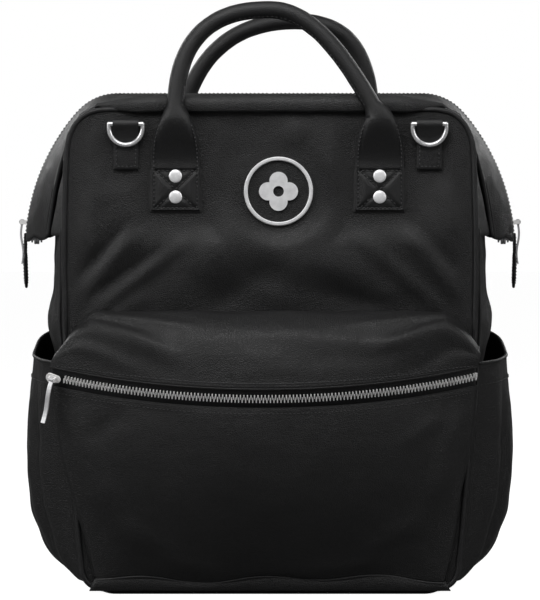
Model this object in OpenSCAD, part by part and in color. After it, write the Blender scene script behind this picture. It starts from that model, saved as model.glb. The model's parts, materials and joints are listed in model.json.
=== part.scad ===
// Doctor-mouth diaper backpack: soft leather-look body on two hinged steel
// mouth wires, zipped front pocket, side pockets, twin grab handles and
// padded shoulder straps.
// +Z up, front faces -Y, right is +X, origin at the centre of the base underside, mm.

/* [Body] */
// Half width of the body at its base
base_half_w = 150; // [140:1:160]
// Extra half width of the body at mid height
side_belly = 13; // [8:0.5:16]
// Depth of the body between the front and back panels
body_depth = 160; // [150:1:170]
// Height of the front panel's top seam
panel_top = 384.5; // [380:0.5:390]
// Thickness of the outer leather panels
skin_t = 1.6; // [1.2:0.1:2]
// Radius of the piping cord
piping_r = 2.2; // [1.6:0.1:2.2]

/* [Mouth] */
// Height of the hinge pins of the mouth wires
pivot_z = 281; // [279:0.5:283]
// Radius of the mouth wire
wire_r = 1.6; // [1.4:0.1:1.7]
// Radius of the hinge pins
pin_r = 2; // [1.8:0.1:2.2]
// Radial running clearance of the hinge pins
pin_clear = 0.05; // [0.03:0.01:0.1]

/* [Handles] */
// Half distance between the two ends of a handle
handle_half_w = 80.6; // [78:0.2:82]
// Radius of the handle tube
handle_r = 6.8; // [6:0.1:7]
// Radius of the cord inside the handle
core_r = 4.5; // [3.5:0.1:4.8]
// How far the handles, rings and badge sit to the right of the centre line
fit_x = 6; // [0:0.5:7]
// Width of the handle patches
patch_w = 39; // [36:1:40]
// Radius of the rivet heads
rivet_r = 5.15; // [4.5:0.05:5.4]

/* [Front pocket] */
// Tilt of the pocket zip's plane
zip_tilt = 22; // [20:0.5:24]
// Radius of the pocket zip's curve
zip_r = 369.4; // [366:0.2:372]
// Half angle of the pocket zip's curve
zip_angle = 27; // [26:0.1:27.2]

/* [Fittings] */
// Radius of the D-ring wire
dring_r = 1.75; // [1.5:0.05:1.9]
// Half width of the D-rings to the wire's centre line
dring_half_w = 13.2; // [12.5:0.1:14]
// Outer radius of the round badge
badge_r = 27.3; // [25:0.1:28]
// Width of the webbing
web_w = 25; // [24:1:26]

/* [Hidden] */

half_depth = body_depth/2;
leather = [0.13, 0.13, 0.135];
cloth = [0.2, 0.2, 0.21];
steel = [0.78, 0.78, 0.8];
board_colour = [0.55, 0.5, 0.42];
cord_colour = [0.8, 0.78, 0.7];
plastic = [0.1, 0.1, 0.1];

// ---- vector and list helpers ----
function unit(v) = v/max(norm(v), 1e-9);
function mix(a, b, t) = a + (b - a)*t;
function total(list) = [for (item = list) 1]*list;
function reversed(list) = [for (i = [len(list)-1:-1:0]) list[i]];
function flip_x(p) = [-p.x, p.y, p.z];
function flip_y(p) = [p.x, -p.y, p.z];
// Cubic Bezier curve through four control points
function bezier(p, t) =
  pow(1-t, 3)*p[0] + 3*pow(1-t, 2)*t*p[1] + 3*(1-t)*t*t*p[2] + t*t*t*p[3];
// Directions along a path at point i
function open_tangent(path, i) = unit(path[min(i+1, len(path)-1)] - path[max(i-1, 0)]);
function loop_tangent(path, i) =
  let (m = len(path)) unit(path[(i+1)%m] - path[(i+m-1)%m]);

// ---- face helpers ----
function quad(a, b, c, d) = [[a, b, c], [a, c, d]];
// Wall between edge a-b and its copy k points later
function wall(a, b, k) = quad(a, b, k+b, k+a);
// Skin over m rings of n points
function ring_skin(m, n) = [for (i = [0:m-2]) for (j = [0:n-1])
  let (a = i*n+j, b = i*n+(j+1)%n) each quad(a, b, b+n, a+n)];

// A closed polyhedron whose faces are turned the right way round
module solid(points, tris) {
  volume = total([for (f = tris) points[f[0]]*cross(points[f[1]], points[f[2]])]);
  polyhedron(points = points, convexity = 8,
    faces = volume > 0 ? [for (f = tris) reversed(f)] : tris);
}
// Rings of points joined in order and closed at both ends
module loft(rings) {
  n = len(rings[0]);
  m = len(rings);
  solid(
    concat([for (ring = rings) each ring], [total(rings[0])/n, total(rings[m-1])/n]),
    concat(
      ring_skin(m, n),
      [for (j = [0:n-1]) [m*n, (j+1)%n, j]],
      [for (j = [0:n-1]) [m*n+1, (m-1)*n+j, (m-1)*n+(j+1)%n]]));
}
// Rings joined in a closed loop
module hoop(rings) {
  n = len(rings[0]);
  m = len(rings);
  solid([for (ring = rings) each ring],
    [for (i = [0:m-1]) for (j = [0:n-1])
      let (next = ((i+1)%m)*n, k = (j+1)%n) each quad(i*n+j, i*n+k, next+k, next+j)]);
}
// A hollow pipe from outer rings and inner rings, open at its ends
module pipe(outer, inner) {
  n = len(outer[0]);
  m = len(outer);
  k = m*n;
  last = k-n;
  solid([for (ring = concat(outer, inner)) each ring], concat(
    ring_skin(m, n),
    [for (i = [0:m-2]) for (j = [0:n-1])
      let (a = k+i*n+j, b = k+i*n+(j+1)%n) each quad(b, a, a+n, b+n)],
    [for (j = [0:n-1]) each wall((j+1)%n, j, k)],
    [for (j = [0:n-1]) each wall(last+j, last+(j+1)%n, k)]));
}
// A sheet of even thickness: a grid of points and its offset copy
module sheet(grid, thickness) {
  m = len(grid);
  n = len(grid[0]);
  k = m*n;
  copy = [for (i = [0:m-1]) for (j = [0:n-1]) grid[i][j] + thickness*unit(cross(
    grid[min(i+1, m-1)][j] - grid[max(i-1, 0)][j],
    grid[i][min(j+1, n-1)] - grid[i][max(j-1, 0)]))];
  solid(concat([for (row = grid) each row], copy), concat(
    [for (i = [0:m-2]) for (j = [0:n-2]) let (a = i*n+j) each quad(a, a+1, a+n+1, a+n)],
    [for (i = [0:m-2]) for (j = [0:n-2]) let (a = k+i*n+j) each quad(a, a+n, a+n+1, a+1)],
    [for (j = [0:n-2]) each wall(j+1, j, k)],
    [for (j = [0:n-2]) let (a = k-n+j) each wall(a, a+1, k)],
    [for (i = [0:m-2]) let (a = i*n) each wall(a, a+n, k)],
    [for (i = [0:m-2]) let (a = i*n+n-1) each wall(a+n, a, k)]));
}
// Ring of a round cord at one point of a path
function cord_ring(p, tangent, r, n) =
  let (e1 = unit(cross(tangent, [0, 1, 0])), e2 = unit(cross(tangent, e1)))
  [for (k = [0:n-1]) p + r*cos(360*k/n)*e1 + r*sin(360*k/n)*e2];
module open_cord(path, r, n)
  loft([for (i = [0:len(path)-1]) cord_ring(path[i], open_tangent(path, i), r, n)]);
module loop_cord(path, r, n)
  hoop([for (i = [0:len(path)-1]) cord_ring(path[i], loop_tangent(path, i), r, n)]);
// Flat band with thinned edges; each station is [point, width, thickness, width direction]
module ribbon(stations) {
  path = [for (station = stations) station[0]];
  loft([for (i = [0:len(path)-1])
    let (along = open_tangent(path, i), dir = stations[i][3],
      across = unit(dir - (dir*along)*along), up = unit(cross(along, across)),
      w = stations[i][1]/2, t = stations[i][2]/2)
    [for (c = [[-w, -t*0.55], [1-w, -t], [w-1, -t], [w, -t*0.55],
               [w, t*0.55], [w-1, t], [1-w, t], [-w, t*0.55]])
      path[i] + c[0]*across + c[1]*up]]);
}

// ---- placing helpers ----
module left() mirror([1, 0, 0]) children();
module rear() mirror([0, 1, 0]) children();
module both() {
  children();
  left() children();
}
// Outline drawn in X and Z, reaching forward from y by the thickness
module slab(y, thickness)
  translate([0, y, 0]) rotate([90, 0, 0]) linear_extrude(height = thickness) children();
module rod_x(r, length, fn) rotate([0, 90, 0]) cylinder(r = r, h = length, $fn = fn);
module rod_y(r, length) rotate([-90, 0, 0]) cylinder(r = r, h = length, $fn = 32);
// Round-cornered rectangle from half sizes and a corner radius
module rounded_rect(x, y, r)
  hull() for (i = [-1, 1]) for (j = [-1, 1]) translate([i*(x-r), j*(y-r)]) circle(r = r, $fn = 32);

// ---- outline of the front and back panels ----
function side_x(z) = base_half_w + side_belly*sin(180*(z-24)/480);
shoulder_x = side_x(345);
bottom_corner = [[130, 4], [144, 4], [base_half_w-0.5, 11], [base_half_w, 24]];
top_corner = [[shoulder_x, 345], [shoulder_x, 370], [150, panel_top], [128, panel_top]];
// Right half, from bottom centre to top centre
function half_rim() = concat(
  [for (t = [0:0.5:1]) [t*126, 4]],
  [for (t = [0.1:0.225:1]) bezier(bottom_corner, t)],
  [for (z = [44:20:340]) [side_x(z), z]],
  [for (t = [0.08:0.23:1]) bezier(top_corner, t)],
  [for (t = [0.25:0.25:1]) [126*(1-t), panel_top]]);
function rim() = let (half = half_rim())
  concat(half, [for (i = [len(half)-2:-1:1]) [-half[i].x, half[i].y]]);
function inset(path, distance) = [for (i = [0:len(path)-1])
  let (t = loop_tangent(path, i)) path[i] + distance*[-t.y, t.x]];
function rim_at(y) = [for (p = rim()) [p.x, y, p.y]];

// ---- body panels ----
side_edge_y = 76.2;        // half depth of the side panels
rivet_heights = [315.5, 332];
module rivet_holes() for (z = rivet_heights) translate([0, z]) circle(r = 1.9, $fn = 32);

// How far the soft side swells out between the panels at height z
function swell(z) = 12*min(1, z/60) + 7*exp(-pow((z-215)/24, 2));
function skin_x(y, z) = (z < 24 ? 150 - 20*pow((24-z)/20, 2.4) : side_x(z))
  + (1-pow(y/side_edge_y, 2))*swell(z);

module panel(y) slab(y, 2) difference() {
  polygon(inset(rim(), 2.6));
  for (side = [-1, 1]) translate([fit_x+side*handle_half_w, 0]) rivet_holes();
}
module front_panel() color(leather) panel(-half_depth+2);
module back_panel() color(leather) panel(half_depth);

module side_panel() {
  heights = concat([6.2, 9, 13, 18], [for (i = [0:11]) 26 + i*23.4]);
  sheet([for (z = heights) [for (y = [-side_edge_y:side_edge_y/5:side_edge_y+0.1])
    [skin_x(y, z), y, z]]], skin_t);
}
module right_side_panel() color(leather) side_panel();
module left_side_panel() color(leather) left() side_panel();

module base_panel() color(leather) linear_extrude(height = 1.6) rounded_rect(126, half_depth, 8);
module base_board() color(board_colour)
  translate([0, 0, 7.4]) linear_extrude(height = 2) rounded_rect(132, 73, 8);
module body_lining() color(cloth) difference() {
  translate([0, 0, 12]) linear_extrude(height = 258) rounded_rect(139, 75, 16);
  translate([0, 0, 13]) linear_extrude(height = 270) rounded_rect(138, 74, 15);
}
module inner_pocket() color(cloth) slab(72.4, 1) translate([0, 125]) rounded_rect(105, 65, 12);
module front_piping() color(leather) loop_cord(rim_at(-half_depth+1), piping_r, 6);
module rear_piping() color(leather) loop_cord(rim_at(half_depth-1), piping_r, 6);

// ---- the mouth's zip line ----
// s runs from 0 at the wing's foot to 1 at the top centre
side_centre = [27, 270.8];      // long side curve, in X and Z
side_r = 170;
corner_centre = [123.3, 354.9]; // corner curve, in X and Z
corner_r = 42;
foot_angle = 3.6;               // where the side curve starts
corner_angle = 41;              // where the corner curve takes over
corner_s = 0.45;
top_s = 0.64;

function arc_point(centre, r, angle) = centre + r*[cos(angle), sin(angle)];
// Point on the zip line, moved outward
function zip_line(s, out) =
  s < corner_s ? arc_point(side_centre, side_r+out, mix(foot_angle, corner_angle, s/corner_s)) :
  s < top_s ? arc_point(corner_centre, corner_r+out,
    mix(corner_angle, 90, (s-corner_s)/(top_s-corner_s))) :
  [corner_centre.x*(1-s)/(1-top_s), corner_centre.y+corner_r+out];
// The whole line from the right foot over the top to the left foot
function full_zip_line(start, steps, out) = [for (i = [0:2*steps])
  let (p = zip_line(mix(start, 1, (i <= steps ? i : 2*steps-i)/steps), out))
  [(i <= steps ? 1 : -1)*p.x, p.y]];
// Band along the zip line, as thick as 2*half_t
module zip_band(start, half_t, y0, y1, steps)
  slab(y1, y1-y0) polygon(concat(
    full_zip_line(start, steps, half_t),
    reversed(full_zip_line(start, steps, -half_t))));

// ---- the front seam where the mouth strip leaves the body, same s ----
seam_top_s = 0.68;
side_seam = [[178.5, -42, 284], [173, -46, 322], [166, -58, 353], [150, -side_edge_y, 380]];
seam_corner = [136, -side_edge_y, 387.6];
function seam(s) =
  s < 0.6 ? bezier(side_seam, s/0.6) :
  s < seam_top_s ? mix(side_seam[3], seam_corner, (s-0.6)/0.08) :
  [seam_corner.x*(1-s)/(1-seam_top_s), seam_corner.y, seam_corner.z];

// ---- mouth: soft parts ----
// Point on the strip, v = 0 near the seam to 1 at the zip
function strip_point(s, v) =
  let (from = seam(s), q = zip_line(s, 0.2), to = [q.x, -15.6, q.y],
    gap = s < 0.6 ? 3/max(norm(to-from), 1) : 0.02)
  mix(from, to, mix(gap, 1, v)) + [0, 0, s > 0.5 ? 2.5*sin(180*v) : 0];

// Row of points across the gusset from front to rear
function gusset_row(s) =
  let (z = mix(286.5, 352, s), seam_x = seam(s*0.46).x, middle_x = mix(173, 123, s),
    half = [
      [side_x(z)-0.4, -76, z],
      [mix(side_x(z), seam_x, 0.45)-1.5, -62, z],
      [seam_x-4, -44-s*10, z],
      [mix(seam_x-4, middle_x, 0.5), -22-s*6, z],
      [middle_x, -1, z]])
  concat(half, [for (p = reversed(half)) flip_y(p)]);
module gusset() sheet([for (i = [0:8]) gusset_row(i/8)], 1.2);
module right_wing_gusset() color(leather) gusset();
module left_wing_gusset() color(leather) left() gusset();

module mouth_strip() {
  steps = 22;
  sheet([for (i = [0:2*steps]) let (s = (i <= steps ? i : 2*steps-i)/steps)
    [for (v = [0:0.25:1]) let (p = strip_point(s*0.9999, v)) i <= steps ? p : flip_x(p)]], -1.4);
}
module front_mouth_strip() color(leather) mouth_strip();
module rear_mouth_strip() color(leather) rear() mouth_strip();

module mouth_piping() both() open_cord([for (s = [0:0.04:0.5]) seam(s)], 1.8, 8);
module front_mouth_piping() color(leather) mouth_piping();
module rear_mouth_piping() color(leather) rear() mouth_piping();

// ---- mouth: wires, pins, zip ----
wire_inset = 5.8;          // wire inside the zip line
side_wire_r = side_r-wire_inset;
corner_wire_r = corner_r-wire_inset;
hinge_x = 190.5;
ear_t = 1.7;

module wire_arc(centre, r, start, end, y)
  translate([centre.x, y, centre.y]) rotate([90, 0, 0]) rotate([0, 0, start])
    rotate_extrude(angle = end-start, $fn = 96) translate([r, 0]) circle(r = wire_r, $fn = 24);
// Sleeve around the corner wire; angle 90 is its top end
module crimp(angle, y) {
  p = arc_point(corner_centre, corner_wire_r, angle);
  translate([p.x, y, p.y]) rotate([0, angle == 90 ? 90 : -angle, 0])
    cylinder(r = wire_r+0.5, h = 6, center = true, $fn = 48);
}
// Flat hinge ear drilled for the pin
module hinge_ear(y, x) difference() {
  union() {
    translate([x, 0, pivot_z]) rod_x(5, ear_t, 48);
    translate([x, y < 0 ? -4.9 : 1.1, pivot_z+1]) cube([ear_t, 3.8, 12]);
  }
  translate([x-1, 0, pivot_z]) rod_x(pin_r+pin_clear, 4, 48);
}
module frame_wire(y, ear_x) {
  both() {
    wire_arc(side_centre, side_wire_r, 6.3, corner_angle, y);
    wire_arc(corner_centre, corner_wire_r, corner_angle, 90, y);
    crimp(corner_angle, y);
    crimp(90, y);
    hinge_ear(y, ear_x);
  }
  translate([-corner_centre.x, y, corner_centre.y+corner_wire_r])
    rod_x(wire_r, 2*corner_centre.x, 24);
}
module front_frame_wire() color(steel) frame_wire(-4, hinge_x-1.9);
module rear_frame_wire() color(steel) frame_wire(4, hinge_x+0.2);
module frame_pins() color(steel) both() translate([hinge_x-3.4, 0, pivot_z])
  rotate([0, 90, 0]) {
    cylinder(r = pin_r, h = 6.8, $fn = 48);
    for (z = [-1, 6.6]) translate([0, 0, z]) cylinder(r = 3.6, h = 1.2, $fn = 48);
  }

module mouth_tape() zip_band(start = 0, half_t = 0.4, y0 = -15, y1 = -4.3, steps = 26);
module mouth_teeth() zip_band(start = 0.03, half_t = 1.2, y0 = -4.1, y1 = -1.3, steps = 40);
module front_zip_tape() color(cloth) mouth_tape();
module rear_zip_tape() color(cloth) rear() mouth_tape();
module front_zip_teeth() color(steel) mouth_teeth();
module rear_zip_teeth() color(steel) rear() mouth_teeth();

// ---- zip slider and pull; local x leaves the zip, local z runs along it ----
bar_x = 7;                 // the bar that carries the pull
bar_r = 0.9;
slider_angle = 7.6;        // place of the slider on the mouth's side curve

module slider_body() {
  for (x = [1.7, -2.9]) translate([x, 0, 0]) rotate([0, 90, 0]) linear_extrude(height = 1.2)
    hull() {
      translate([4, 0]) circle(r = 3.6, $fn = 32);
      translate([-3, 0]) circle(r = 4.8, $fn = 32);
    }
  translate([-2, -0.9, -1.5]) cube([4, 1.8, 4.5]);
  for (y = [-3.4, 2.3]) translate([2.5, y, -1.7]) cube([5.8, 1.1, 3.4]);
  translate([bar_x, -3, 0]) rod_y(bar_r, 6);
}
// S-curved metal puller hanging from its bar by a barrel;
// drop is how far below the bar the blade starts, slope its outward lean
module metal_pull(length, width, barrel_r, half_t, drop, slope, bore_length) {
  function edge(offset) = [for (i = [0:14]) let (z = length*i/14)
    [bar_x + offset + sin(360*z/length) + z*slope, -z-drop]];
  difference() {
    union() {
      translate([bar_x, -width/2, 0]) rod_y(barrel_r, width);
      slab(width/2, width) polygon(concat(edge(-half_t), reversed(edge(half_t))));
    }
    translate([bar_x, -bore_length/2, 0]) rod_y(bar_r+0.08, bore_length);
  }
}
module mouth_pull() metal_pull(length = 33, width = 4.4, barrel_r = 2.3, half_t = 0.7,
  drop = 1.2, slope = 0, bore_length = 8.8);
// Leather tab: a neck, then a wide pointed end
module leather_tab() translate([bar_x-4.2, 0, 0]) rotate([0, 90, 0]) rotate([0, 0, 90])
  linear_extrude(height = 2.4) polygon([
    [-3, -9], [3, -9], [3.4, -24], [8.5, -30], [8.5, -47],
    [0, -54], [-8.5, -47], [-8.5, -30], [-3.4, -24]]);
module on_mouth() translate([side_centre.x, 0, side_centre.y])
  rotate([0, -slider_angle, 0]) translate([side_r, 0, 0]) children();
// On the mouth, turned about the bar to hang straight down
module hung_on_mouth() on_mouth() translate([bar_x, 0, 0]) rotate([0, slider_angle, 0])
  translate([-bar_x, 0, 0]) children();

module right_zip_slider() color(steel) on_mouth() slider_body();
module left_zip_slider() color(steel) left() on_mouth() slider_body();
module right_zip_pull() color(steel) hung_on_mouth() mouth_pull();
module left_zip_pull() color(steel) left() hung_on_mouth() mouth_pull();
module right_pull_tab() color(leather) hung_on_mouth() leather_tab();
module left_pull_tab() color(leather) left() hung_on_mouth() leather_tab();

// ---- front pocket ----
// Centre of the zip's curve; its plane tilts down towards the front
zip_centre = [-5, -125 + zip_r*cos(zip_tilt), 159.5 + zip_r*sin(zip_tilt)];
module on_zip_plane() translate(zip_centre) rotate([zip_tilt, 0, 0]) children();
// Point on the zip's curve, out along the radius and up from the zip's plane
function zip_point(angle, out, up) =
  let (x = (zip_r+out)*sin(angle), forward = (zip_r+out)*cos(angle))
  zip_centre + [x, -forward*cos(zip_tilt) - up*sin(zip_tilt),
    -forward*sin(zip_tilt) + up*cos(zip_tilt)];
// Seams with the front panel, u = -1 at the left to 1 at the right
function top_seam(u) = let (droop = abs(u) < 0.7 ? 0 : pow((abs(u)-0.7)/0.3, 2))
  [164*u, -half_depth-1.9 - 6*pow(abs(u), 8), 224 - 28*droop];
function foot_seam(u) = [138*u, -half_depth-2.2, 13 + 2*cos(540*u)];

across = [-1:0.0833:1.001];
down = [0:0.125:1];
pocket_t = 1.4;
seam_offset = 10.8;        // panel edges above and below the zip's plane
function fullness(u) = 1-pow(abs(u), 4);
module pocket_upper_panel() color(leather)
  sheet([for (v = down) [for (u = across)
    mix(top_seam(u), zip_point(zip_angle*u, 0.4, seam_offset), v)
      + sin(180*v)*fullness(u)*[0, -11, 5]]], pocket_t);
module pocket_lower_panel() color(leather)
  sheet([for (v = down) [for (u = across)
    mix(zip_point(zip_angle*u, 0.4, -seam_offset), foot_seam(u), v)
      + sin(180*v)*[3*u, -12*fullness(u), 0]]], pocket_t);

// Band around the zip's curve between angles, radial offsets and heights
module arc_band(angles, radii, heights) on_zip_plane() rotate([0, 0, -90+angles[0]])
  rotate_extrude(angle = angles[1]-angles[0], $fn = 180) translate([zip_r+radii[0], heights[0]])
    square([radii[1]-radii[0], heights[1]-heights[0]]);
module pocket_zip_tape() color(cloth)
  arc_band([-zip_angle, zip_angle], [-0.6, 0.1], [-12.8, 10.6]);
module pocket_zip_teeth() color(steel)
  arc_band([-zip_angle+1.7, zip_angle-0.3], [0.3, 2.5], [-3, 3]);

// The pocket slider stands proud of the teeth at the left end
pocket_bar_x = 3;
module on_pocket_zip() on_zip_plane() rotate([0, 0, -90-(zip_angle-0.6)])
  translate([zip_r+3.2, 0, 0]) children();
module pocket_zip_slider() color(steel) on_pocket_zip() {
  rotate([0, 90, 0]) translate([0, 0, -0.3]) linear_extrude(height = 1.3)
    hull() {
      translate([0, -2.6]) circle(r = 3.9, $fn = 32);
      translate([0, 3.4]) circle(r = 3, $fn = 32);
    }
  translate([-2.7, -4.4, -1]) cube([3, 3, 2]);
  for (y = [-3, 1.9]) translate([0.8, y, -1.7]) cube([3.6, 1.1, 3.4]);
  translate([pocket_bar_x, -2.6, 0]) rod_y(bar_r, 5.2);
}
// Hangs free, turned out about its bar
module pocket_zip_pull() color(steel) on_pocket_zip() translate([pocket_bar_x, 0, 0])
  rotate([0, -20, 0]) translate([-bar_x, 0, 0])
    metal_pull(length = 34, width = 3.4, barrel_r = 1.9, half_t = 0.65,
      drop = 0.6, slope = 0.12, bore_length = 8);

// ---- side pockets ----
// Outer profile of the pocket: height, x
pouch_profile = [[8, 155], [30, 177], [60, 193], [103, 198], [140, 196], [230, 188]];
pouch_rows = [0, 0.025, 0.05, 0.075, 0.1, 0.2, 0.3, 0.4, 0.5, 0.6, 0.7, 0.8, 0.9, 1];
pouch_half_w = 72;
// The top edge rises towards the rear
module pouch() sheet([for (v = pouch_rows) [for (y = [-pouch_half_w:12:pouch_half_w])
  let (top = 183 + (y+pouch_half_w)/(2*pouch_half_w)*22, z = mix(9, top, v),
    skin = skin_x(y, z)+3, full = 1-pow(abs(y)/pouch_half_w, 3))
  [max(skin, mix(skin, lookup(z, pouch_profile), full)), y, z]]], 1.4);
module right_side_pocket() color(leather) pouch();
module left_side_pocket() color(leather) left() pouch();

// ---- handles ----
flare_z = 341.6;           // wide flat end of the cover
neck_z = 378;              // where the round tube begins
bow_z = 463.7;
rear_bow_z = bow_z-2.2;
neck_y = -half_depth-8.8;
// Five Bezier points, x and z, shape each bow; the rear one sags to the other side
front_bow = [[-82, 420], [-69.5, bow_z], [-7.5, bow_z], [26.5, bow_z], [51.75, 430]];
rear_bow = [[-72, 428], [-40, rear_bow_z], [14, rear_bow_z], [58, rear_bow_z], [78, 440]];

function bow_point(t, bow) = t < 0.5 ?
  bezier([[-handle_half_w, neck_z], bow[0], bow[1], bow[2]], 2*t) :
  bezier([bow[2], bow[3], bow[4], [handle_half_w, neck_z]], 2*t-1);
// Ring of half sizes a along e1 and b along Y, squarer the flatter it is
function oval(centre, e1, a, b, n) =
  let (power = mix(0.55, 1, min(1, b/a)))
  [for (k = [0:n-1]) let (c = cos(360*k/n), s = sin(360*k/n))
    centre + a*sign(c)*pow(abs(c), power)*e1 + b*sign(s)*pow(abs(s), power)*[0, 1, 0]];
// Ring of a flared end, t = 0 at the flare to 1 at the neck; side 1 is the left end
function bell_ring(t, side, wall_t, n) =
  let (ease = t*t*(3-2*t),
    a = mix(patch_w/2, handle_r, pow(t, 0.9)), b = mix(1.15, handle_r, ease),
    centre = [-side*handle_half_w, mix(-half_depth-1.45, neck_y, ease), mix(flare_z, neck_z, t)])
  oval(centre, [side, 0, 0], a-wall_t*1.2, b-wall_t*mix(0.28, 1, ease), n);
// The handle leans back as it rises
function bow_path(bow) = [for (i = [1:26])
  let (p = bow_point(i/27, bow)) [p.x, neck_y + 12*(p.y-neck_z)/86, p.y]];
function bow_rings(bow, r, n) = let (path = bow_path(bow)) [for (i = [0:len(path)-1])
  let (t = open_tangent(path, i)) oval(path[i], unit([t.z, 0, -t.x]), r, r, n)];
function cover_rings(bow, wall_t, n) = concat(
  [for (t = [0:0.125:1]) bell_ring(t, 1, wall_t, n)],
  bow_rings(bow, handle_r-wall_t, n),
  [for (t = [1:-0.125:0]) bell_ring(t, -1, wall_t, n)]);

module handle_cover(bow)
  translate([fit_x, 0, 0]) pipe(cover_rings(bow, 0, 12), cover_rings(bow, 2.1, 12));
module handle_core(bow) {
  rings = bow_rings(bow, core_r, 10);
  translate([fit_x, 0, 0]) loft([for (i = [1:24]) rings[i]]);
}
module front_handle_cover() color(leather) handle_cover(front_bow);
module rear_handle_cover() color(leather) rear() handle_cover(rear_bow);
module front_handle_core() color(cord_colour) handle_core(front_bow);
module rear_handle_core() color(cord_colour) rear() handle_core(rear_bow);

module at_handle_ends()
  for (side = [-1, 1]) translate([fit_x+side*handle_half_w, 0, 0]) children();
module patches() at_handle_ends() slab(-half_depth-0.3, 2.3) difference() {
  translate([-patch_w/2, 304.5]) square([patch_w, 34.5]);
  rivet_holes();
}
module front_handle_patches() color(leather) patches();
module rear_handle_patches() color(leather) rear() patches();

// Domed head outside, shank through the panel, flat washer inside
module rivet() {
  rotate_extrude($fn = 48) polygon(concat([[0, 2.8], [rivet_r, 2.8]],
    [for (a = [0:15:90]) [rivet_r*cos(a), 3.2+1.6*sin(a)]]));
  translate([0, 0, -3.3]) cylinder(r = 1.8, h = 6.6, $fn = 32);
  translate([0, 0, -3.4]) cylinder(r = 4, h = 1, $fn = 32);
}
module rivets() at_handle_ends() for (z = rivet_heights)
  translate([0, -half_depth, z]) rotate([90, 0, 0]) rivet();
module front_rivets() color(steel) rivets();
module rear_rivets() color(steel) rear() rivets();

// ---- D-rings ----
dring_x = 119.7;
dring_y = -half_depth-5.2;
dring_z = 373;             // height of the straight bar
dring_leg = 3.2;
tab_w = 20;
module d_ring() translate([dring_x, dring_y, dring_z]) {
  translate([-dring_half_w, 0, 0]) rod_x(dring_r, 2*dring_half_w, 32);
  for (side = [-1, 1]) {
    translate([side*dring_half_w, 0, -dring_leg]) cylinder(r = dring_r, h = dring_leg, $fn = 32);
    translate([side*dring_half_w, 0, 0]) sphere(r = dring_r, $fn = 32);
  }
  translate([0, 0, -dring_leg]) rotate([90, 0, 0]) rotate([0, 0, 180])
    rotate_extrude(angle = 180, $fn = 64)
      translate([dring_half_w, 0]) circle(r = dring_r, $fn = 32);
}
module right_d_ring() color(steel) translate([fit_x, 0, 0]) d_ring();
module left_d_ring() color(steel) translate([fit_x, 0, 0]) left() d_ring();
module d_ring_tabs() color(leather) translate([fit_x, 0, 0]) both() difference() {
  union() {
    translate([dring_x-tab_w/2, -half_depth-2.2, 337]) cube([tab_w, 1.9, 37]);
    translate([dring_x-tab_w/2, dring_y, dring_z]) rod_x(3.7, tab_w, 48);
  }
  translate([dring_x-tab_w/2-1, dring_y, dring_z]) rod_x(dring_r+0.08, tab_w+2, 48);
}

// ---- badge ----
module at_badge() translate([fit_x+0.7, -half_depth-0.2, 320]) rotate([90, 0, 0]) children();
module badge_ring() color(steel) at_badge() rotate_extrude($fn = 96)
  translate([badge_r, 0]) polygon([[-3, 0], [0, 0], [0, 1.6], [-0.7, 2.4], [-2.3, 2.4], [-3, 1.6]]);
// Four lobes around a hole
module badge_emblem() color(steel) at_badge() linear_extrude(height = 1.8) difference() {
  union() {
    for (a = [0:90:270]) rotate([0, 0, a]) translate([8.2, 0]) circle(r = 7.2, $fn = 48);
    circle(r = 8, $fn = 48);
  }
  circle(r = 4.2, $fn = 48);
}

// ---- back and shoulder straps ----
strap_curve = [
  [27, half_depth+8.4, 356], [30, half_depth+34, 318],
  [66, half_depth+30, 228], [96, half_depth+19, 124]];
lower_web_curve = [
  [101, half_depth+16, 86.5], [108, half_depth+15, 68],
  [124, half_depth+7, 44], [134, half_depth+3, 26]];
lock_centre = [99, half_depth+16.5, 106];
web_t = 1.6;

module back_pad() color(cloth)
  slab(half_depth+9.5, 9.2) translate([0, 165]) rounded_rect(106, 125, 26);
module strap_yoke() color(leather)
  slab(half_depth+3.2, 2.9) translate([0, 356]) rounded_rect(50, 15, 5);

function strap_width(t) = mix(42, t < 0.8 ? 50 : mix(50, 34, (t-0.8)/0.2), min(1, t*2.5));
module strap() ribbon([for (t = [0:0.0625:1]) [
  bezier(strap_curve, t), strap_width(t),
  8 + 3*sin(180*min(1, t*1.1)), [1, 0, 0.25*sin(180*t)]]]);
module right_shoulder_strap() color(cloth) strap();
module left_shoulder_strap() color(cloth) left() strap();

module ladder_locks() color(plastic) both() translate(lock_centre) slab(2.2, 4.4) difference() {
  rounded_rect(17.5, 13, 3);
  for (z = [-7.8, 1.6]) translate([-13.3, z]) square([26.6, 4.2]);
}
module lower_webbing() color(cloth) both() ribbon([for (t = [0:0.125:1])
  [bezier(lower_web_curve, t), web_w, web_t, [1, 0, 0.45]]]);
module webbing_tail() ribbon([for (z = [104:-6:60])
  [[99 + (104-z)*0.06, half_depth+20.4+(z < 98 ? 0.4 : 0), z], web_w, web_t, [1, 0, 0]]]);
module right_webbing_tail() color(cloth) webbing_tail();
module left_webbing_tail() color(cloth) left() webbing_tail();

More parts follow.
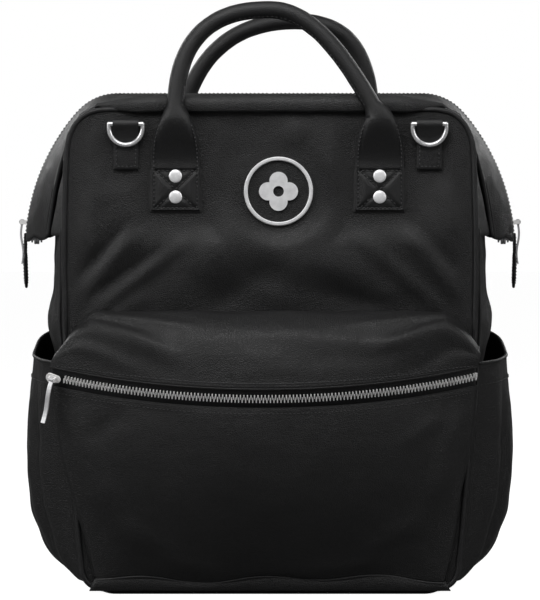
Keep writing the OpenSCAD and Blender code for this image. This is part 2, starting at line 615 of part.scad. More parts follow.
front_panel();
back_panel();
left_side_panel();
right_side_panel();
base_panel();
base_board();
body_lining();
inner_pocket();
front_piping();
rear_piping();
left_wing_gusset();
right_wing_gusset();
front_mouth_strip();
rear_mouth_strip();
front_mouth_piping();
rear_mouth_piping();
front_frame_wire();
rear_frame_wire();
frame_pins();
front_zip_tape();
rear_zip_tape();
front_zip_teeth();
rear_zip_teeth();
left_zip_slider();
right_zip_slider();
left_zip_pull();
right_zip_pull();
left_pull_tab();
right_pull_tab();
pocket_upper_panel();
pocket_lower_panel();
pocket_zip_tape();
pocket_zip_teeth();
pocket_zip_slider();
pocket_zip_pull();
left_side_pocket();
right_side_pocket();
front_handle_cover();
rear_handle_cover();
front_handle_core();
rear_handle_core();
front_handle_patches();
rear_handle_patches();
front_rivets();
rear_rivets();
left_d_ring();
right_d_ring();
d_ring_tabs();
badge_ring();
badge_emblem();
back_pad();
strap_yoke();
left_shoulder_strap();
right_shoulder_strap();
ladder_locks();
lower_webbing();
left_webbing_tail();
right_webbing_tail();
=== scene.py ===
"""A black leather backpack with two top handles, a framed zip mouth and a bowed front pocket.

It stands on z = 0 with its front towards -Y, its right side at +X and its mouth up.
Shapes are worked out in millimetres and become metres when a mesh is made.
"""
import json
import math
import bpy
import bmesh
import numpy as np
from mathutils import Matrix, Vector, noise

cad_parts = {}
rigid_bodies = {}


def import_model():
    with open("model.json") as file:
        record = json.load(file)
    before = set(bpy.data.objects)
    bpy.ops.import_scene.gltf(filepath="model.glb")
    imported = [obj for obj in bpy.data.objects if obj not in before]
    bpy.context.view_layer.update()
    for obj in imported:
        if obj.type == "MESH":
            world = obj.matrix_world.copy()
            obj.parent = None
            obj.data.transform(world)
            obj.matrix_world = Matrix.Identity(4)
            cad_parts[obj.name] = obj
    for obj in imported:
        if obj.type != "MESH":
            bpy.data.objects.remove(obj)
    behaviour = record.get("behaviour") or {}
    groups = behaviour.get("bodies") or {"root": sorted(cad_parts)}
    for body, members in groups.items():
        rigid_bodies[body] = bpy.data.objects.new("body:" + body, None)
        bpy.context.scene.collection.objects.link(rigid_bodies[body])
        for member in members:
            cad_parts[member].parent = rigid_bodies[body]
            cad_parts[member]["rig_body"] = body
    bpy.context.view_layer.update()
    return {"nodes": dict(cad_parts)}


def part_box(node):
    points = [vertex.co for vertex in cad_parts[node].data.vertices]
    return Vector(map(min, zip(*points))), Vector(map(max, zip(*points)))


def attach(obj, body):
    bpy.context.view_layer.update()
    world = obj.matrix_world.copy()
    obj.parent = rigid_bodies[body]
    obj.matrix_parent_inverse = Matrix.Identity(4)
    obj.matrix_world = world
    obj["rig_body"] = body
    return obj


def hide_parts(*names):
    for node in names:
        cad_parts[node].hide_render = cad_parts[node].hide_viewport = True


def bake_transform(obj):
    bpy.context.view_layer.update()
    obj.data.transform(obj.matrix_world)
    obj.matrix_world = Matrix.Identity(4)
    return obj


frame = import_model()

MM = 0.001
pi = math.pi

# ------------------------------------------------------------------ driving dimensions, mm
HALF_DEPTH = 80.0                                  # middle of the bag to the front and back panels
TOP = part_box("front_panel")[1][2] / MM + 2.6       # top of the panels' outline
BASE_HALF = 150.0                                  # half width just above the rounded foot
FOOT_Z, SHOULDER_Z = 24, 345                       # the nearly straight sides run between these
HARDWARE_X = 6.0                                   # sideways place of handles, rings and badge
HANDLE_X = 80.6                                    # handle feet either side of HARDWARE_X
RING_X = 119.7                                     # D-ring tabs either side of HARDWARE_X

FACINGS = ((-1, "front"), (1, "rear"))
SIDES = ((1, "right"), (-1, "left"))


# ------------------------------------------------------------------ numbers and curves
def smooth(t):
    t = max(0.0, min(1.0, t))
    return t * t * (3 - 2 * t)


def lerp(a, b, t):
    return a + (b - a) * t


def lerp_point(a, b, t):
    return tuple(lerp(p, q, t) for p, q in zip(a, b))


def steps(start, end, count):
    """count + 1 evenly spaced values."""
    return [lerp(start, end, i / count) for i in range(count + 1)]


def sine_steps(count):
    """count + 1 values from -1 to 1, crowded towards both ends."""
    return [math.sin(a) for a in steps(-pi / 2, pi / 2, count)]


def hump(distance, width):
    return math.exp(-(distance / width) ** 2)


def signed_power(value, exponent):
    return math.copysign(abs(value) ** exponent, value)


def bezier(points, t):
    a, b, c, d = (1 - t) ** 3, 3 * (1 - t) ** 2 * t, 3 * (1 - t) * t * t, t ** 3
    return tuple(a * p + b * q + c * r + d * s for p, q, r, s in zip(*points))


def ripple(p, size, seed=0.0):
    """Smooth noise at a point; size is the feature size."""
    return noise.noise(Vector((p[0] / size + seed, p[1] / size - seed * 0.7,
                               p[2] / size + seed * 1.3)))


def tangent(path, i, closed=False):
    last = len(path) - 1
    before = path[i - 1 if closed else max(i - 1, 0)]
    after = path[(i + 1) % len(path) if closed else min(i + 1, last)]
    return (Vector(after) - Vector(before)).normalized()


def resample(path, step):
    points = [Vector(p) for p in path]
    lengths = [0.0]
    for a, b in zip(points, points[1:]):
        lengths.append(lengths[-1] + (b - a).length)
    count = max(1, int(round(lengths[-1] / step)))
    out, j = [], 0
    for i in range(count + 1):
        place = lengths[-1] * i / count
        while j < len(lengths) - 2 and lengths[j + 1] < place:
            j += 1
        share = (place - lengths[j]) / max(lengths[j + 1] - lengths[j], 1e-9)
        out.append(tuple(points[j].lerp(points[j + 1], share)))
    return out


# ------------------------------------------------------------------ mesh helpers
def new_piece(name, verts, faces, finish, replaced=None, body="body", smooth_shade=True):
    """A mesh object; finish is (material, slot), of which the slot is not used; replaced names the
    CAD piece it stands for.
    """
    material, slot = finish
    mesh = bpy.data.meshes.new(name)
    mesh.from_pydata([(v[0] * MM, v[1] * MM, v[2] * MM) for v in verts], [], faces)
    mesh.validate()
    mesh.update()
    bm = bmesh.new()
    bm.from_mesh(mesh)
    bmesh.ops.remove_doubles(bm, verts=bm.verts, dist=1e-6)
    bmesh.ops.recalc_face_normals(bm, faces=bm.faces)
    bm.to_mesh(mesh)
    bm.free()
    if smooth_shade:
        shade_smooth(mesh)
    piece = bpy.data.objects.new(name, mesh)
    bpy.context.scene.collection.objects.link(piece)
    mesh.materials.append(material)
    if body:
        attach(piece, body)
    if replaced:
        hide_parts(replaced)
    return piece


def shade_smooth(mesh):
    mesh.polygons.foreach_set("use_smooth", [True] * len(mesh.polygons))


def grid_faces(rows, cols, wrap_rows=False, wrap_cols=False, base=0, flip=False):
    faces = []
    for i in range(rows if wrap_rows else rows - 1):
        for j in range(cols if wrap_cols else cols - 1):
            a = base + i * cols + j
            b = base + i * cols + (j + 1) % cols
            c = base + ((i + 1) % rows) * cols + (j + 1) % cols
            d = base + ((i + 1) % rows) * cols + j
            faces.append((a, d, c, b) if flip else (a, b, c, d))
    return faces


def rod_faces(rings, sides, base=0):
    """A run of rings, capped at both ends."""
    last = base + (rings - 1) * sides
    return (grid_faces(rings, sides, wrap_cols=True, base=base)
            + [tuple(base + k for k in reversed(range(sides)))]
            + [tuple(last + k for k in range(sides))])


def two_sheets(name, front, back, finish, **told):
    """Two grids of points joined along their rims into one closed sheet."""
    rows, cols = len(front), len(front[0])
    verts = [p for row in front for p in row] + [p for row in back for p in row]
    k = rows * cols
    faces = grid_faces(rows, cols) + grid_faces(rows, cols, base=k, flip=True)
    for i in range(rows - 1):
        a, b = i * cols, (i + 1) * cols
        faces.append((a, b, k + b, k + a))
        a, b = a + cols - 1, b + cols - 1
        faces.append((b, a, k + a, k + b))
    for j in range(cols - 1):
        faces.append((j + 1, j, k + j, k + j + 1))
        a = (rows - 1) * cols + j
        faces.append((a, a + 1, k + a + 1, k + a))
    return new_piece(name, verts, faces, finish, **told)


def grid_normal(grid, i, j):
    last_row, last_col = len(grid) - 1, len(grid[0]) - 1
    down = Vector(grid[min(i + 1, last_row)][j]) - Vector(grid[max(i - 1, 0)][j])
    along = Vector(grid[i][min(j + 1, last_col)]) - Vector(grid[i][max(j - 1, 0)])
    normal = down.cross(along)
    return normal.normalized() if normal.length > 1e-9 else Vector((0, 0, 1))


def shell(name, grid, thickness, finish, **told):
    """A grid and its copy moved by the thickness along the grid's normals."""
    copy = [[tuple(Vector(p) + grid_normal(grid, i, j) * thickness) for j, p in enumerate(row)]
            for i, row in enumerate(grid)]
    return two_sheets(name, grid, copy, finish, **told)


def tube(name, path, radius, finish, sides=10, closed=False, guide=(0, 1, 0), **told):
    """Round cord along a path; guide sets how its rings are turned."""
    verts = []
    for i, centre in enumerate(path):
        along = tangent(path, i, closed)
        up = Vector(guide)
        if abs(along.dot(up)) > 0.96:
            up = Vector((0, 0, 1)) if abs(along.z) < 0.9 else Vector((1, 0, 0))
        first = along.cross(up).normalized()
        second = along.cross(first).normalized()
        for k in range(sides):
            a = 2 * pi * k / sides
            verts.append(tuple(Vector(centre) + first * (radius * math.cos(a))
                               + second * (radius * math.sin(a))))
    if closed:
        faces = grid_faces(len(path), sides, wrap_rows=True, wrap_cols=True)
    else:
        faces = rod_faces(len(path), sides)
    return new_piece(name, verts, faces, finish, **told)


# share of the stitch's length, share of its radius, height above the leather
STITCH_RINGS = ((0.0, 0.35, -0.25), (0.22, 0.95, 0.12), (0.5, 1.0, 0.22), (0.78, 0.95, 0.12),
                (1.0, 0.35, -0.25))
STITCH_SIDES = 6


def stitches(name, paths, lift, finish, pitch=3.3, radius=0.42, **told):
    """Rows of stitches: small rounded bars bowed out of the leather along lift.

    lift is a direction, or a function of the stitch's start.
    """
    verts, faces = [], []
    for path in paths:
        fine = resample(path, pitch / 6)
        for i in range(0, len(fine) - 5, 6):
            start = Vector(fine[i])
            along = Vector(fine[i + 4]) - start
            length = along.length
            if length < 0.3:
                continue
            along.normalize()
            up = Vector(lift(fine[i]) if callable(lift) else lift).normalized()
            across = along.cross(up)
            if across.length < 1e-6:
                continue
            across.normalize()
            up = across.cross(along)
            base = len(verts)
            for share, width, height in STITCH_RINGS:
                centre = start + along * (length * share) + up * height
                for k in range(STITCH_SIDES):
                    a = 2 * pi * k / STITCH_SIDES
                    verts.append(tuple(centre + across * (radius * width * math.cos(a))
                                       + up * (radius * width * math.sin(a))))
            faces += rod_faces(len(STITCH_RINGS), STITCH_SIDES, base)
    return new_piece(name, verts, faces, finish, **told)


def bend(piece, weight):
    """Frees a piece from what it rides and bakes its place into its mesh; it works out a bend weight
    for each point but does not apply them.
    """
    piece.parent = None
    if "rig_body" in piece:
        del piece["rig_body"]
    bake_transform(piece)
    weights = [weight((v.co.x / MM, v.co.y / MM, v.co.z / MM)) for v in piece.data.vertices]


# ------------------------------------------------------------------ materials
def times(colour, factor):
    return tuple(c * factor for c in colour)


class Shader:
    """A material being built: one Principled surface, textured in object coordinates."""

    def __init__(self, name):
        self.material = bpy.data.materials.new(name)
        self.material.use_nodes = True
        self.tree = self.material.node_tree
        self.tree.nodes.clear()
        output = self.node("ShaderNodeOutputMaterial")
        self.surface = self.node("ShaderNodeBsdfPrincipled")
        self.feed(output, {0: self.surface.outputs[0]})
        self.coords = self.node("ShaderNodeTexCoord").outputs["Object"]
        self.normal = None

    def node(self, kind, inputs=None, **settings):
        node = self.tree.nodes.new(kind)
        for key, value in settings.items():
            setattr(node, key, value)
        self.feed(node, inputs or {})
        return node

    def feed(self, node, inputs):
        """Links sockets and sets plain values."""
        for key, value in inputs.items():
            if isinstance(value, bpy.types.NodeSocket):
                self.tree.links.new(value, node.inputs[key])
            else:
                node.inputs[key].default_value = value

    def noise(self, vector, scale, detail=3, rough=0.55, output=0):
        return self.node("ShaderNodeTexNoise", {"Scale": scale, "Detail": detail,
                                                "Roughness": rough, "Vector": vector}).outputs[output]

    def math(self, operation, a, b=0.0):
        return self.node("ShaderNodeMath", {0: a, 1: b}, operation=operation).outputs[0]

    def fit(self, value, scale, offset):
        return self.math("ADD", self.math("MULTIPLY", value, scale), offset)

    def weighted(self, a, share_a, b, share_b):
        return self.math("ADD", self.math("MULTIPLY", a, share_a),
                         self.math("MULTIPLY", b, share_b))

    def ramp(self, value, *stops):
        """Stops are (position, grey)."""
        node = self.node("ShaderNodeValToRGB")
        elements = node.color_ramp.elements
        while len(elements) < len(stops):
            elements.new(0.5)
        for element, (position, grey) in zip(elements, stops):
            element.position = position
            element.color = (grey, grey, grey, 1)
        self.feed(node, {0: value})
        return node.outputs[0]

    def mix(self, factor, a, b):
        """Mixes colours, each an RGB tuple or a socket."""
        a, b = [(*c, 1) if isinstance(c, tuple) else c for c in (a, b)]
        return self.node("ShaderNodeMix", {0: factor, 6: a, 7: b}, data_type="RGBA").outputs[2]

    def bump(self, height, strength, distance):
        """Adds relief on top of the relief made so far."""
        inputs = {"Strength": strength, "Distance": distance, "Height": height}
        if self.normal is not None:
            inputs["Normal"] = self.normal
        self.normal = self.node("ShaderNodeBump", inputs).outputs[0]
        self.feed(self.surface, {"Normal": self.normal})


def leather(name, dark, light, rough, grain, grain_depth, specular):
    """Pebbled leather: cell grain with creases between, pores, patchy gloss and a painted highlight
    that makes convex edges paler.
    """
    s = Shader(name)
    # cells drawn in coordinates pushed about by noise, so they aren't straight-sided
    warp = s.node("ShaderNodeVectorMath", operation="ADD")
    drift = s.noise(s.coords, scale=240, detail=2, rough=0.5, output="Color")
    shift = s.node("ShaderNodeVectorMath", {0: drift, "Scale": 0.0011}, operation="SCALE")
    s.feed(warp, {0: s.coords, 1: shift.outputs[0]})
    edges = s.node("ShaderNodeTexVoronoi", {"Scale": grain, "Vector": warp.outputs[0]},
                   feature="DISTANCE_TO_EDGE")
    cells = s.ramp(edges.outputs["Distance"], (0.0, 0.0), (0.22, 0.85), (0.6, 1.0))
    pores = s.noise(s.coords, scale=grain * 2.6, detail=2)
    folds = s.noise(s.coords, scale=95, detail=4, rough=0.6)
    patches = s.noise(s.coords, scale=16, rough=0.5)
    geometry = s.node("ShaderNodeNewGeometry")
    # painted highlight: convex edges, found by pointiness, are painted paler in the base colour
    painted_edge_highlight = s.ramp(geometry.outputs["Pointiness"], (0.50, 0.0), (0.60, 1.0))
    tone = s.math("MULTIPLY", cells, s.fit(patches, scale=0.7, offset=0.2))
    colour = s.mix(tone, dark, light)
    colour = s.mix(s.math("MULTIPLY", painted_edge_highlight, 0.35), colour, times(light, 2.6))
    gloss = s.ramp(s.weighted(folds, 0.5, patches, 0.5), (0.3, rough[0]), (0.7, rough[1]))
    # creases between the cells are duller than their tops
    gloss = s.math("SUBTRACT", s.math("ADD", gloss, 0.10), s.math("MULTIPLY", cells, 0.10))
    s.feed(s.surface, {"Base Color": colour, "Roughness": gloss, "Specular IOR Level": specular,
                       "Coat Weight": 0.06, "Coat Roughness": 0.35})
    s.bump(folds, strength=0.3, distance=0.0013)
    s.bump(cells, strength=grain_depth, distance=0.0003)
    s.bump(pores, strength=0.10, distance=0.0001)
    return s.material


def fabric(name, dark, light, scale, rough=0.85, strength=0.5):
    """Plain weave: two crossed thread waves; scale is threads to the metre."""
    s = Shader(name)
    axes = s.node("ShaderNodeSeparateXYZ", {0: s.coords}).outputs

    def wave(axis, slant):
        place = s.math("ADD", axes[axis], s.math("MULTIPLY", axes[1], slant))
        return s.math("SINE", s.math("MULTIPLY", place, scale * 2 * pi))

    weave = s.fit(s.math("MULTIPLY", wave(0, slant=0.6), wave(2, slant=0.5)),
                  scale=0.5, offset=0.5)
    fuzz = s.noise(s.coords, scale=2500)
    patches = s.noise(s.coords, scale=22)
    tone = s.math("MULTIPLY", s.weighted(weave, 0.6, fuzz, 0.4),
                  s.fit(patches, scale=0.8, offset=0.4))
    s.feed(s.surface, {"Base Color": s.mix(tone, dark, light),
                       "Roughness": s.ramp(fuzz, (0.2, rough - 0.12), (0.8, rough + 0.08)),
                       "Sheen Weight": 0.25, "Sheen Roughness": 0.4,
                       "Specular IOR Level": 0.25})
    s.bump(weave, strength=strength, distance=0.0003)
    s.bump(fuzz, strength=0.2, distance=0.0002)
    return s.material


def air_mesh(name, dark, light, scale):
    """Spacer mesh: rows of small round holes between knitted ridges."""
    s = Shader(name)
    dots = s.node("ShaderNodeTexVoronoi", {"Scale": scale, "Randomness": 0.12}, feature="F1")
    turned = s.node("ShaderNodeMapping", {"Rotation": (0.3, 0.2, 0.78), "Vector": s.coords})
    s.feed(dots, {"Vector": turned.outputs[0]})
    ridges = s.ramp(dots.outputs["Distance"], (0.22, 0.0), (0.42, 1.0))
    fuzz = s.noise(s.coords, scale=3000, detail=2)
    tone = s.math("MULTIPLY", ridges, s.fit(fuzz, scale=0.6, offset=0.4))
    s.feed(s.surface, {"Base Color": s.mix(tone, dark, light),
                       "Roughness": s.ramp(fuzz, (0.2, 0.8), (0.8, 1.0)),
                       "Sheen Weight": 0.3, "Specular IOR Level": 0.2})
    s.bump(ridges, strength=0.7, distance=0.0007)
    s.bump(fuzz, strength=0.2, distance=0.0002)
    return s.material


def metal(name, colour, rough, metallic=1.0, scratch=0.12):
    """Plated metal: fine scratches along one direction and slight tarnish."""
    s = Shader(name)
    drawn = s.node("ShaderNodeMapping", {"Scale": (1, 1, 14), "Rotation": (0.1, 0.6, 0.2),
                                         "Vector": s.coords})
    scratches = s.noise(drawn.outputs[0], scale=700, rough=0.7)
    tarnish = s.noise(s.coords, scale=160)
    tone = s.ramp(tarnish, (0.35, 0.0), (0.75, 1.0))
    s.feed(s.surface, {"Metallic": metallic,
                       "Base Color": s.mix(tone, colour, times(colour, 0.78)),
                       "Roughness": s.ramp(s.weighted(scratches, 0.6, tarnish, 0.4),
                                           (0.3, rough[0]), (0.7, rough[1]))})
    s.bump(scratches, strength=scratch, distance=0.00008)
    return s.material


def plastic(name, colour):
    """Moulded plastic with a fine texture."""
    s = Shader(name)
    texture = s.noise(s.coords, scale=1800)
    patches = s.noise(s.coords, scale=60)
    s.feed(s.surface, {"Base Color": s.mix(patches, colour, times(colour, 1.8)),
                       "Roughness": s.ramp(texture, (0.3, 0.42), (0.7, 0.58))})
    s.bump(texture, strength=0.15, distance=0.0001)
    return s.material


def thread(name, colour):
    """Sewing thread with a fine fibre noise."""
    s = Shader(name)
    fibres = s.noise(s.coords, scale=4200, detail=2)
    s.feed(s.surface, {"Base Color": s.mix(fibres, colour, times(colour, 3)),
                       "Roughness": s.ramp(fibres, (0.3, 0.45), (0.7, 0.65))})
    s.bump(fibres, strength=0.3, distance=0.0001)
    return s.material


leather_body = leather("leather_body", dark=(0.004, 0.004, 0.0042), light=(0.0085, 0.0085, 0.0088),
                       rough=(0.38, 0.54), grain=680, grain_depth=0.8, specular=0.34)
leather_trim = leather("leather_trim", dark=(0.004, 0.004, 0.0043), light=(0.0085, 0.0085, 0.009),
                       rough=(0.34, 0.48), grain=950, grain_depth=0.5, specular=0.36)
lining = fabric("lining_weave", dark=(0.10, 0.10, 0.11), light=(0.24, 0.24, 0.255), scale=700)
tape = fabric("zip_tape_weave", dark=(0.0045, 0.0045, 0.005), light=(0.016, 0.016, 0.017),
              scale=900, rough=0.75)
webbing = fabric("ribbed_webbing", dark=(0.006, 0.006, 0.0065), light=(0.028, 0.028, 0.03),
                 scale=420, rough=0.7, strength=0.8)
cord = fabric("cotton_cord", dark=(0.35, 0.32, 0.27), light=(0.62, 0.58, 0.5), scale=500)
board = fabric("board_fibre", dark=(0.18, 0.15, 0.11), light=(0.34, 0.29, 0.22), scale=300,
               strength=0.2)
spacer = air_mesh("spacer_mesh", dark=(0.006, 0.006, 0.0065), light=(0.035, 0.035, 0.037),
                  scale=330)
polished = metal("nickel_polished", colour=(0.86, 0.86, 0.87), rough=(0.2, 0.36), metallic=0.7)
satin = metal("badge_satin", colour=(0.86, 0.86, 0.87), rough=(0.4, 0.55), scratch=0.08,
              metallic=0.35)
rivet_metal = metal("rivet_nickel", colour=(0.95, 0.95, 0.96), rough=(0.3, 0.44), scratch=0.06,
                    metallic=0.3)
zip_metal = metal("zip_nickel", colour=(1.0, 0.99, 0.98), rough=(0.28, 0.42), metallic=0.08)
pull_metal = metal("pull_nickel", colour=(0.66, 0.66, 0.67), rough=(0.36, 0.52), metallic=0.45)
wire = metal("spring_steel", colour=(0.4, 0.4, 0.41), rough=(0.28, 0.45))
moulded = plastic("moulded_black", colour=(0.012, 0.012, 0.012))
black_thread = thread("black_thread", colour=(0.012, 0.012, 0.0125))

# finishes: material and slot
LEATHER = (leather_body, "leather_black")
TRIM = (leather_trim, "leather_trim")
LINING = (lining, "lining_fabric")
LINING_TAPE = (tape, "lining_fabric")
ZIP_TAPE = (tape, "zip_tape")
ZIP_METAL = (zip_metal, "zip_metal")
WEBBING = (webbing, "webbing")
WEBBING_TAPE = (tape, "webbing")
PADDING = (spacer, "air_mesh")
PADDING_TAPE = (tape, "air_mesh")
LEATHER_THREAD = (black_thread, "leather_black")
TRIM_THREAD = (black_thread, "leather_trim")
WEBBING_THREAD = (black_thread, "webbing")


# ------------------------------------------------------------------ outline of the body
def side_x(z):
    return BASE_HALF + 13 * math.sin(pi * (z - FOOT_Z) / 480)


# the rounded corners at the foot and the shoulder, x and z
FOOT_BEZIER = ((130, 4), (144, 4), (BASE_HALF - 0.5, 11), (BASE_HALF, FOOT_Z))
SHOULDER_BEZIER = ((side_x(SHOULDER_Z), SHOULDER_Z), (side_x(SHOULDER_Z), 370), (150, TOP),
                   (128, TOP))
FOOT_CURVE = [bezier(FOOT_BEZIER, t) for t in steps(0, 1, 40)]
SHOULDER_CURVE = [bezier(SHOULDER_BEZIER, t) for t in steps(0, 1, 60)]


def rim():
    """The whole outline as x and z, from the middle of the foot round the right side."""
    half = [(x, 4.0) for x in steps(0, 126, 18)]
    half += [bezier(FOOT_BEZIER, t / 18) for t in range(1, 18)]
    half += [(side_x(z), z) for z in steps(FOOT_Z, SHOULDER_Z, 66)]
    half += [bezier(SHOULDER_BEZIER, t / 24) for t in range(1, 25)]
    half += [(128 * (1 - i / 24), TOP) for i in range(1, 25)]
    return half + [(-x, z) for x, z in reversed(half[1:-1])]


def curve_x(curve, z):
    for (x0, z0), (x1, z1) in zip(curve, curve[1:]):
        if z <= z1:
            return lerp(x0, x1, max(0.0, (z - z0) / (z1 - z0)))
    return curve[-1][0]


def panel_half(z):
    """Half width of the outline at height z."""
    if z < FOOT_Z:
        return curve_x(FOOT_CURVE, z)
    if z < SHOULDER_Z:
        return side_x(z)
    return curve_x(SHOULDER_CURVE, z)


# ------------------------------------------------------------------ front and back panels
# soft creases of the front panel: x0, z0, x1, z1, width, height
PANEL_RIDGES = (
    (-162, 222, -92, 306, 7, 3.4), (-156, 246, -106, 300, 5, -2.4),
    (-150, 216, -60, 286, 6, 2.6), (-140, 236, -84, 276, 5, -2.0),
    (-132, 214, -96, 240, 7, 2.0), (-134, 345, -150, 262, 9, 2.2),
    (-120, 300, -142, 240, 8, -1.4), (-10, 300, -100, 226, 17, 3.0),
    (10, 262, -56, 222, 12, -2.6), (-30, 250, 30, 228, 10, 1.6),
    (162, 222, 98, 304, 9, 3.2), (154, 248, 106, 306, 6, -2.2),
    (148, 216, 66, 288, 7, 2.4), (20, 292, 104, 224, 17, 2.8),
    (40, 240, 110, 226, 8, -1.6), (-40, 376, -48, 318, 9, 1.6),
    (-60, 380, -56, 330, 6, -1.0), (46, 376, 54, 316, 9, 1.6),
    (20, 380, 14, 350, 10, 1.0), (132, 352, 146, 284, 9, 1.9),
    (-134, 378, -148, 326, 7, 1.5), (138, 380, 150, 326, 7, 1.3),
    (-10, 276, 70, 250, 12, 1.4),
)


def ridge_sum(x, z, ridges, x_unit=1, reach=0.42):
    """Height of all ridges at a point; x_unit scales x, reach is half a ridge's run."""
    total = 0.0
    for x0, z0, x1, z1, width, height in ridges:
        dx, dz = (x1 - x0) / x_unit, z1 - z0
        from_x, from_z = (x - x0) / x_unit, z - z0
        length = math.hypot(dx, dz)
        along = (from_x * dx + from_z * dz) / (length * length)
        off = (from_x * -dz + from_z * dx) / length
        total += height * math.exp(-((along - 0.5) / reach) ** 4) * hump(off, width)
    return total


def front_y(x, z):
    """Slack leather, held flat by the handle patches, ring tabs, badge and rim."""
    slack = 1.0
    for side in (-1, 1):
        patch = max(abs(x - HARDWARE_X - side * HANDLE_X) / 26, abs(z - 330) / 34)
        slack = min(slack, smooth((patch - 0.8) / 0.8))
        tab = max(abs(x - HARDWARE_X - side * RING_X) / 15, abs(z - 356) / 24)
        slack = min(slack, smooth((tab - 0.8) / 0.9))
    badge = math.hypot(x - HARDWARE_X - 0.7, z - 320) / 32
    slack = min(slack, smooth((badge - 0.85) / 0.6))
    edge = smooth((panel_half(z) - abs(x)) / 22) * smooth((TOP - z) / 18)
    relief = ridge_sum(x, z, PANEL_RIDGES)
    relief += 2.4 * ripple((x, 0, z), 62, 3.0) + 0.8 * ripple((x, 0, z), 24, 8.0)
    relief += 1.8 * math.cos(x / 150 * 1.4) * math.sin(pi * min(1, z / TOP))
    # a broad swell across the panel above the pocket
    relief += 4.6 * hump(z - 277 + 6 * math.cos(x / 40), 31) * (1 - 0.35 * (x / 150) ** 2)
    return -HALF_DEPTH - edge * slack * relief - 0.2


def back_y(x, z):
    edge = smooth((panel_half(z) - abs(x)) / 15)
    return HALF_DEPTH + 0.2 + 0.6 * ripple((x, 5, z), 40, 12.0) * edge


def panel_rows(y_at):
    rows = []
    for z in steps(4.2, TOP - 0.2, 150):
        half = panel_half(z) - 0.9
        rows.append([(half * u, y_at(half * u, z), z) for u in steps(-1, 1, 110)])
    return rows


def panels():
    shell("front_panel_leather", panel_rows(front_y), 1.2, LEATHER, replaced="front_panel")
    shell("back_panel_leather", panel_rows(back_y)[::-1], 1.2, LEATHER, replaced="back_panel")


def panel_piping(facing, name, seed):
    y = facing * (HALF_DEPTH - 0.4)
    path = [(x + 0.25 * ripple((x, y, z), 17, seed), y + 0.25 * ripple((x, y, z), 23, seed + 4), z)
            for x, z in rim()]
    tube(name + "_piping_cord", path, 2.15, TRIM, sides=12, closed=True,
         replaced=name + "_piping")


# ------------------------------------------------------------------ sides of the body
def skin_x(y, z):
    """The bulging side, before its wrinkles."""
    swell = 12 * min(1, z / 60) + 7 * hump(z - 215, 24)
    return panel_half(min(z, SHOULDER_Z)) + (1 - (y / 78) ** 2) * swell


def wrinkled_x(y, z, side):
    wrinkle = 1.5 * ripple((side * 7, y, z), 34, 5.0) + 0.6 * ripple((side * 3, y, z), 14, 9.0)
    # upright folds near the front and rear edges
    wrinkle += 1.8 * hump(y + 52 + (z - 200) * 0.05, 5.5)
    wrinkle -= 1.4 * hump(y + 38 + (z - 200) * 0.08, 6)
    wrinkle += 1.3 * hump(y - 50, 6)
    fade = smooth((78 - abs(y)) / 18) * smooth(z / 30)
    fade *= (0.35 + 0.65 * smooth((z - 180) / 25)) * (1 - 0.6 * smooth((z - 262) / 20))
    return skin_x(y, z) + wrinkle * fade


def side_welts():
    for side in (-1, 1):
        for facing, name in FACINGS:
            y = facing * 69
            path = [(side * (wrinkled_x(y, z, side) + 0.5), y, z) for z in steps(150, 290, 60)]
            tube(f"{name}_{'r' if side > 0 else 'l'}_side_welt", path, 1.5, TRIM)


def side_panel(side, name):
    rows = [[(side * wrinkled_x(y, z, side), y, z) for y in steps(-78.6, 78.6, 56)]
            for z in steps(5.5, 291, 99)]
    shell(name + "_side_leather", rows, 1.2 * side, LEATHER, replaced=name + "_side_panel")


# ------------------------------------------------------------------ mouth: zip line and seam
# Half of the mouth runs from share 0 at its foot to 1 at the middle of the top. The zip climbs
# a large side arc, turns a small corner arc and runs level.
SIDE_CENTRE, SIDE_RADIUS = (27.0, 270.8), 170.0
CORNER_CENTRE, CORNER_RADIUS = (123.3, 354.9), 42.0
START_ANGLE, CORNER_ANGLE = 3.6, 41.0
SEAM_BEZIER = ((178.5, -42, 284), (173, -46, 322), (166, -58, 353), (150, -76.2, 380))
SEAM_CORNER = (136, -76.2, 387.2)
MOUTH_END = 0.9999     # keeps the two halves' middle points a hair apart


def zip_line(share, lift=0.0):
    """x and z of the zip, lifted outwards."""
    if share >= 0.64:
        return (CORNER_CENTRE[0] * (1 - share) / 0.36, CORNER_CENTRE[1] + CORNER_RADIUS + lift)
    if share < 0.45:
        centre, radius = SIDE_CENTRE, SIDE_RADIUS
        a = math.radians(lerp(START_ANGLE, CORNER_ANGLE, share / 0.45))
    else:
        centre, radius = CORNER_CENTRE, CORNER_RADIUS
        a = math.radians(lerp(CORNER_ANGLE, 90, (share - 0.45) / 0.19))
    return (centre[0] + (radius + lift) * math.cos(a), centre[1] + (radius + lift) * math.sin(a))


def mouth_seam(share):
    """Where the front half of the mouth band is sewn to the body."""
    if share < 0.6:
        return bezier(SEAM_BEZIER, share / 0.6)
    if share < 0.68:
        return lerp_point(SEAM_BEZIER[3], SEAM_CORNER, (share - 0.6) / 0.08)
    return (SEAM_CORNER[0] * (1 - share) / 0.32, *SEAM_CORNER[1:])


def mirrored(along):
    """0 to 2 along the whole mouth becomes a share and a side: right foot, top, left foot."""
    return (along, 1) if along <= 1 else (2 - along, -1)


def mouth_point(along, y, lift=0.0):
    share, side = mirrored(along)
    x, z = zip_line(min(share, MOUTH_END), lift)
    return (side * x, y, z)


def seam_weight(z):
    """How much the middle of a wing's seam follows its half of the mouth; none at its ends."""
    return 0.8 * smooth((z - 288) / 34) * smooth((379 - z) / 34)


def band_weight(p):
    """Little at the seam with the body, 1 at the zip."""
    seam_y = 76.0 if p[2] > 384 else lerp(42.0, 76.0, smooth((p[2] - 284) / 98))
    share = smooth((seam_y - abs(p[1])) / (seam_y - 15.0))
    return share + (1 - share) * seam_weight(p[2])


def bend_with_mouth(piece, weight):
    bend(piece, weight)


